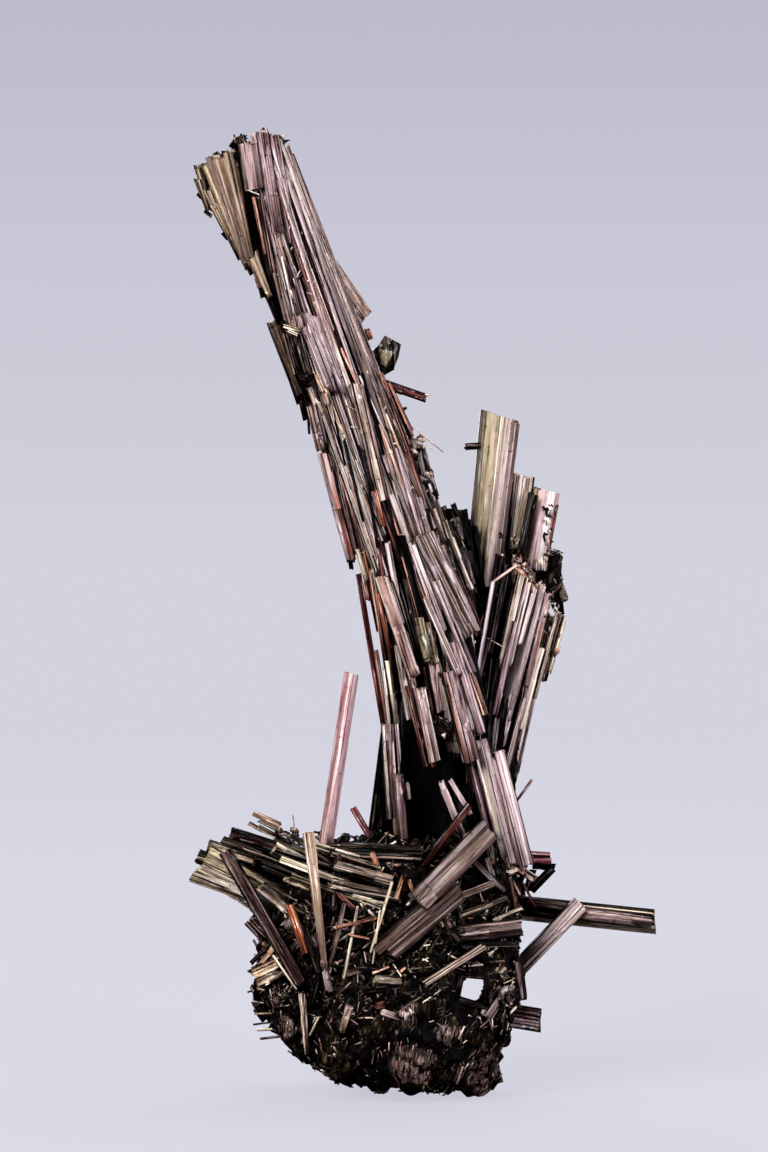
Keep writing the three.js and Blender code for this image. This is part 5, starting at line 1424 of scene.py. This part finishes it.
# Heaps of chips and small crystals in the gaps, made last so that loose chips find the skins of the rest.
# debris takes count, the two corners of its box, sizes and seed; sheaf takes count, the two corners, way,
# lengths, widths, tones and seed.
bpy.context.view_layer.update()
skins = [BVHTree.FromObject(piece, bpy.context.evaluated_depsgraph_get()) for piece in made]
heaps = [
    # down the bundle's broken right edge
    debris(46, (0.9, -1.6, 62.0), (2.3, 1.0, 65.8), (1.0, 1.9), 81, darkShare=0.35, blocky=True),
    debris(40, (1.8, -1.8, 59.2), (3.2, 1.0, 62.4), (1.0, 1.9), 87, darkShare=0.35, blocky=True),
    debris(26, (-0.6, -1.2, 65.6), (0.5, 1.0, 69.0), (0.8, 1.4), 82, darkShare=0.5, blocky=True),
    # on the lower front
    debris(26, (2.5, -5.9, 36.5), (5.2, -5.3, 38.2), (0.5, 1.0), 92, darkShare=0.7, blocky=True),
    # on the steps of the group on the right
    debris(16, (10.4, 0.7, 54.4), (11.9, 1.7, 56.2), (0.4, 0.9), 93, darkShare=0.35, way=(1, 0, -1),
           pale=(0.4, 0.72)),
    debris(18, (11.7, 0.8, 52.6), (13.3, 1.8, 54.6), (0.4, 0.9), 94, darkShare=0.3, way=(1, 0, -1),
           pale=(0.4, 0.72)),
    debris(22, (13.0, 1.2, 50.4), (14.6, 2.4, 52.8), (0.4, 0.9), 95, darkShare=0.25, pale=(0.4, 0.72)),
    debris(20, (15.0, 2.0, 47.0), (16.6, 3.4, 50.0), (0.4, 0.9), 96, darkShare=0.3, pale=(0.45, 0.8)),
    debris(30, (14.5, 2.8, 54.0), (15.5, 4.4, 59.2), (0.5, 1.1), 97, darkShare=0.5, way=(-0.2, 0, 1),
           loose=0.5, pale=(0.45, 0.8)),
    # on the foot's front, and on its ledge on the left
    debris(4, (-0.1, -11.3, 9.0), (1.0, -11.0, 10.6), (1.4, 2.0), 99, darkShare=0.0, blocky=True,
           pale=(0.55, 0.7)),
    debris(50, (-12.6, -2.4, 25.0), (-7.6, -0.8, 26.8), (0.6, 1.5), 98, darkShare=0.6,
           way=(1, 0, -0.3), pale=(0.3, 0.6)),
    # small crystals along the bundle's right edge and between it and the group on the right
    *sheaf(14, (0.6, -1.6, 63.4), (2.2, 0.8, 66.2), (0.25, 0, -1), (1.5, 3.4), (0.4, 0.9), (-0.1, 0.8), 8100),
    *sheaf(14, (1.4, -1.6, 60.4), (3.2, 0.8, 63.2), (0.3, 0, -1), (1.5, 3.4), (0.4, 0.9), (-0.1, 0.8), 8120),
    *sheaf(40, (3.0, 0.4, 54.0), (6.4, 3.0, 59.6), (0.32, 0, -1), (2.5, 7), (0.3, 0.8), (-0.2, 0.4),
           8300, hue=0.6),
    *sheaf(22, (2.8, -2.6, 52.0), (5.6, -0.8, 59.0), (0.36, 0, -1), (2.5, 6), (0.35, 0.8), (0.3, 0.8),
           8400, hue=0.6),
    *sheaf(12, (5.6, 0.8, 55.0), (7.4, 3.0, 58.6), (0.12, 0, -1), (3, 8), (0.5, 1.1), (-0.2, 0.1), 8340),
    *sheaf(12, (3.4, -0.4, 54.0), (6.4, 0.6, 58.0), (0.36, 0, -1), (3, 7), (0.3, 0.6), (0.1, 0.7),
           8360, hue=0.7),
    # behind the group on the right
    debris(40, (11.5, 2.0, 50.0), (14.8, 4.4, 54.0), (0.5, 1.6), 85, loose=0.6),
    debris(50, (13.4, 3.2, 44.0), (16.2, 5.4, 49.0), (0.4, 1.4), 86, loose=0.6),
    # on the tip
    debris(16, (-16.6, -1.0, 94.8), (-15.2, 0.8, 96.0), (0.5, 1.1), 89, darkShare=0.9, way=(1, 0, 0)),
    debris(8, (-12.2, -1.4, 95.2), (-11.3, 0.2, 96.2), (0.6, 1.1), 90, darkShare=0.8),
]
makePiece("debrisHeaps", heaps, opaqueSchorl)
print("debris made:", len(heaps), "heaps and small crystals")


# Stage, light and camera.
# the paper's colours darken with height, as painted fall-off of the light towards the top
studio = {"floorRadius": 1.6, "wallRadius": 0.9, "wallHeight": 2.6, "ownLight": 0.86,
          "paper": [(0, "#d3d3df"), (0.1, "#cdccd9"), (0.22, "#c9c8d6"), (0.4, "#bebdcd"), (1, "#b4b3c4")]}


def roundCove():
    # a floor disc that curves up into a wall all round: a profile of arc and lines spun about the middle
    bend = np.linspace(0, np.pi / 2, 12)
    r0, r1, h = studio["floorRadius"], studio["wallRadius"], studio["wallHeight"]
    profile = np.concatenate([[[0.35, 0]], np.stack([r0 + r1 * np.sin(bend), r1 - r1 * np.cos(bend)], 1),
                              [[r0 + r1, h]]])
    angle = np.linspace(0, 2 * np.pi, 96, endpoint=False)
    points = np.stack([profile[:, :1] * np.cos(angle), profile[:, :1] * np.sin(angle),
                       profile[:, 1:] + 0 * angle], -1)
    grid = np.arange(points[..., 0].size).reshape(points.shape[:2])
    after = np.roll(grid, -1, axis=1)
    quads = np.stack([grid[:-1], grid[1:], after[1:], after[:-1]], -1).reshape(-1, 4)
    mesh = bpy.data.meshes.new("roundCove")
    mesh.from_pydata(points.reshape(-1, 3).tolist(), [], [*quads.tolist(), grid[0].tolist()])
    mesh.shade_smooth()
    return mesh


def paperBackdrop():
    # pale lilac background paper, matt and evenly lit: its light is its own, so that it stays even, but
    # for a round patch at the foot, which takes a part of its light from the lamps and so holds a shadow
    material, tree = newMaterial("paleBackdropPaper")
    place = addNode(tree, "ShaderNodeTexCoord").outputs["Object"]
    height = addNode(tree, "ShaderNodeSeparateXYZ", {"Vector": place}).outputs["Z"]
    away = addNode(tree, "ShaderNodeVectorMath", {0: place}, operation="LENGTH").outputs["Value"]
    far = addNode(tree, "ShaderNodeMapRange", {"Value": away, "From Min": 0.08, "From Max": 0.55},
                  interpolation_type="SMOOTHERSTEP")
    share = addNode(tree, "ShaderNodeMapRange", {"Value": height, "From Min": 0.0, "From Max": 0.75})
    # painted fall-off of light: the tint darkens from the floor upwards
    tint = addRamp(tree, share.outputs["Result"], studio["paper"])
    paper = addNode(tree, "ShaderNodeBsdfDiffuse", {"Color": linearColour("#4a4a4e")})
    glow = addNode(tree, "ShaderNodeEmission", {"Color": tint, "Strength": studio["ownLight"]})
    near = addNode(tree, "ShaderNodeAddShader", {0: paper.outputs[0], 1: glow.outputs[0]})
    even = addNode(tree, "ShaderNodeEmission", {"Color": tint, "Strength": 1.0})
    both = addNode(tree, "ShaderNodeMixShader", {"Fac": far.outputs["Result"], 1: near.outputs[0],
                                                 2: even.outputs[0]})
    addNode(tree, "ShaderNodeOutputMaterial", {"Surface": both.outputs[0]})
    return material


cove = bpy.data.objects.new("roundCove", roundCove())
cove.data.materials.append(paperBackdrop())
bpy.context.scene.collection.objects.link(cove)
cove.visible_diffuse = False     # the paper's own light doesn't reach into the dark gaps
cove.visible_glossy = False


def softbox(name, place, size, power, colour):
    # a square lamp with its place and size in metres and its power in watts, aimed at the specimen's middle
    lamp = bpy.data.lights.new(name, "AREA")
    lamp.shape = "SQUARE"
    lamp.size = size
    lamp.energy = power
    lamp.color = linearColour(colour)[:3]
    holder = bpy.data.objects.new(name, lamp)
    bpy.context.scene.collection.objects.link(holder)
    middle = np.array([0, 0, 0.05])
    holder.location = place
    direction = middle - np.array(place)
    holder.rotation_euler = (math.acos(-direction[2] / np.linalg.norm(direction)), 0,
                             math.atan2(direction[1], direction[0]) - math.pi / 2)
    return holder


softbox("keyLight", (-0.50, -0.70, 0.50), 0.55, 19.6, "#fbfbff")
softbox("fillLight", (0.62, -0.60, 0.22), 0.35, 8.0, "#f6eeff")
softbox("topLight", (0.15, 0.30, 0.90), 0.45, 6.0, "#ffffff")
softbox("backLight", (-0.35, 0.80, 0.35), 0.50, 7.0, "#f4f2ff")
softbox("sideLight", (0.85, 0.15, 0.40), 0.45, 5.0, "#ffffff")

world = bpy.data.worlds.new("studioAir")
world.use_nodes = True
world.node_tree.nodes["Background"].inputs["Color"].default_value = linearColour("#d3d3df")
world.node_tree.nodes["Background"].inputs["Strength"].default_value = 0.04
bpy.context.scene.world = world
bpy.context.scene.view_settings.view_transform = "Standard"

# a long lens, nearly level, so that the bundle keeps its straight lines
lens = {"focal": 135.0, "sensor": 36.0, "viewHeight": 115.2, "aim": (-1.6, 0.0, 52.1), "tilt": 2.0}
camera = bpy.data.cameras.new("camera")
camera.lens = lens["focal"]
camera.sensor_width = lens["sensor"]
camera.clip_start = 0.01
viewer = bpy.data.objects.new("camera", camera)
bpy.context.scene.collection.objects.link(viewer)
tilt = math.radians(lens["tilt"])
distance = lens["viewHeight"] * lens["focal"] / lens["sensor"]
aim = np.array(lens["aim"])
viewer.location = (aim + distance * np.array([0, -math.cos(tilt), math.sin(tilt)])) * mm
viewer.rotation_euler = (math.pi / 2 - tilt, 0, 0)
bpy.context.scene.camera = viewer
print("stage, light and camera made")
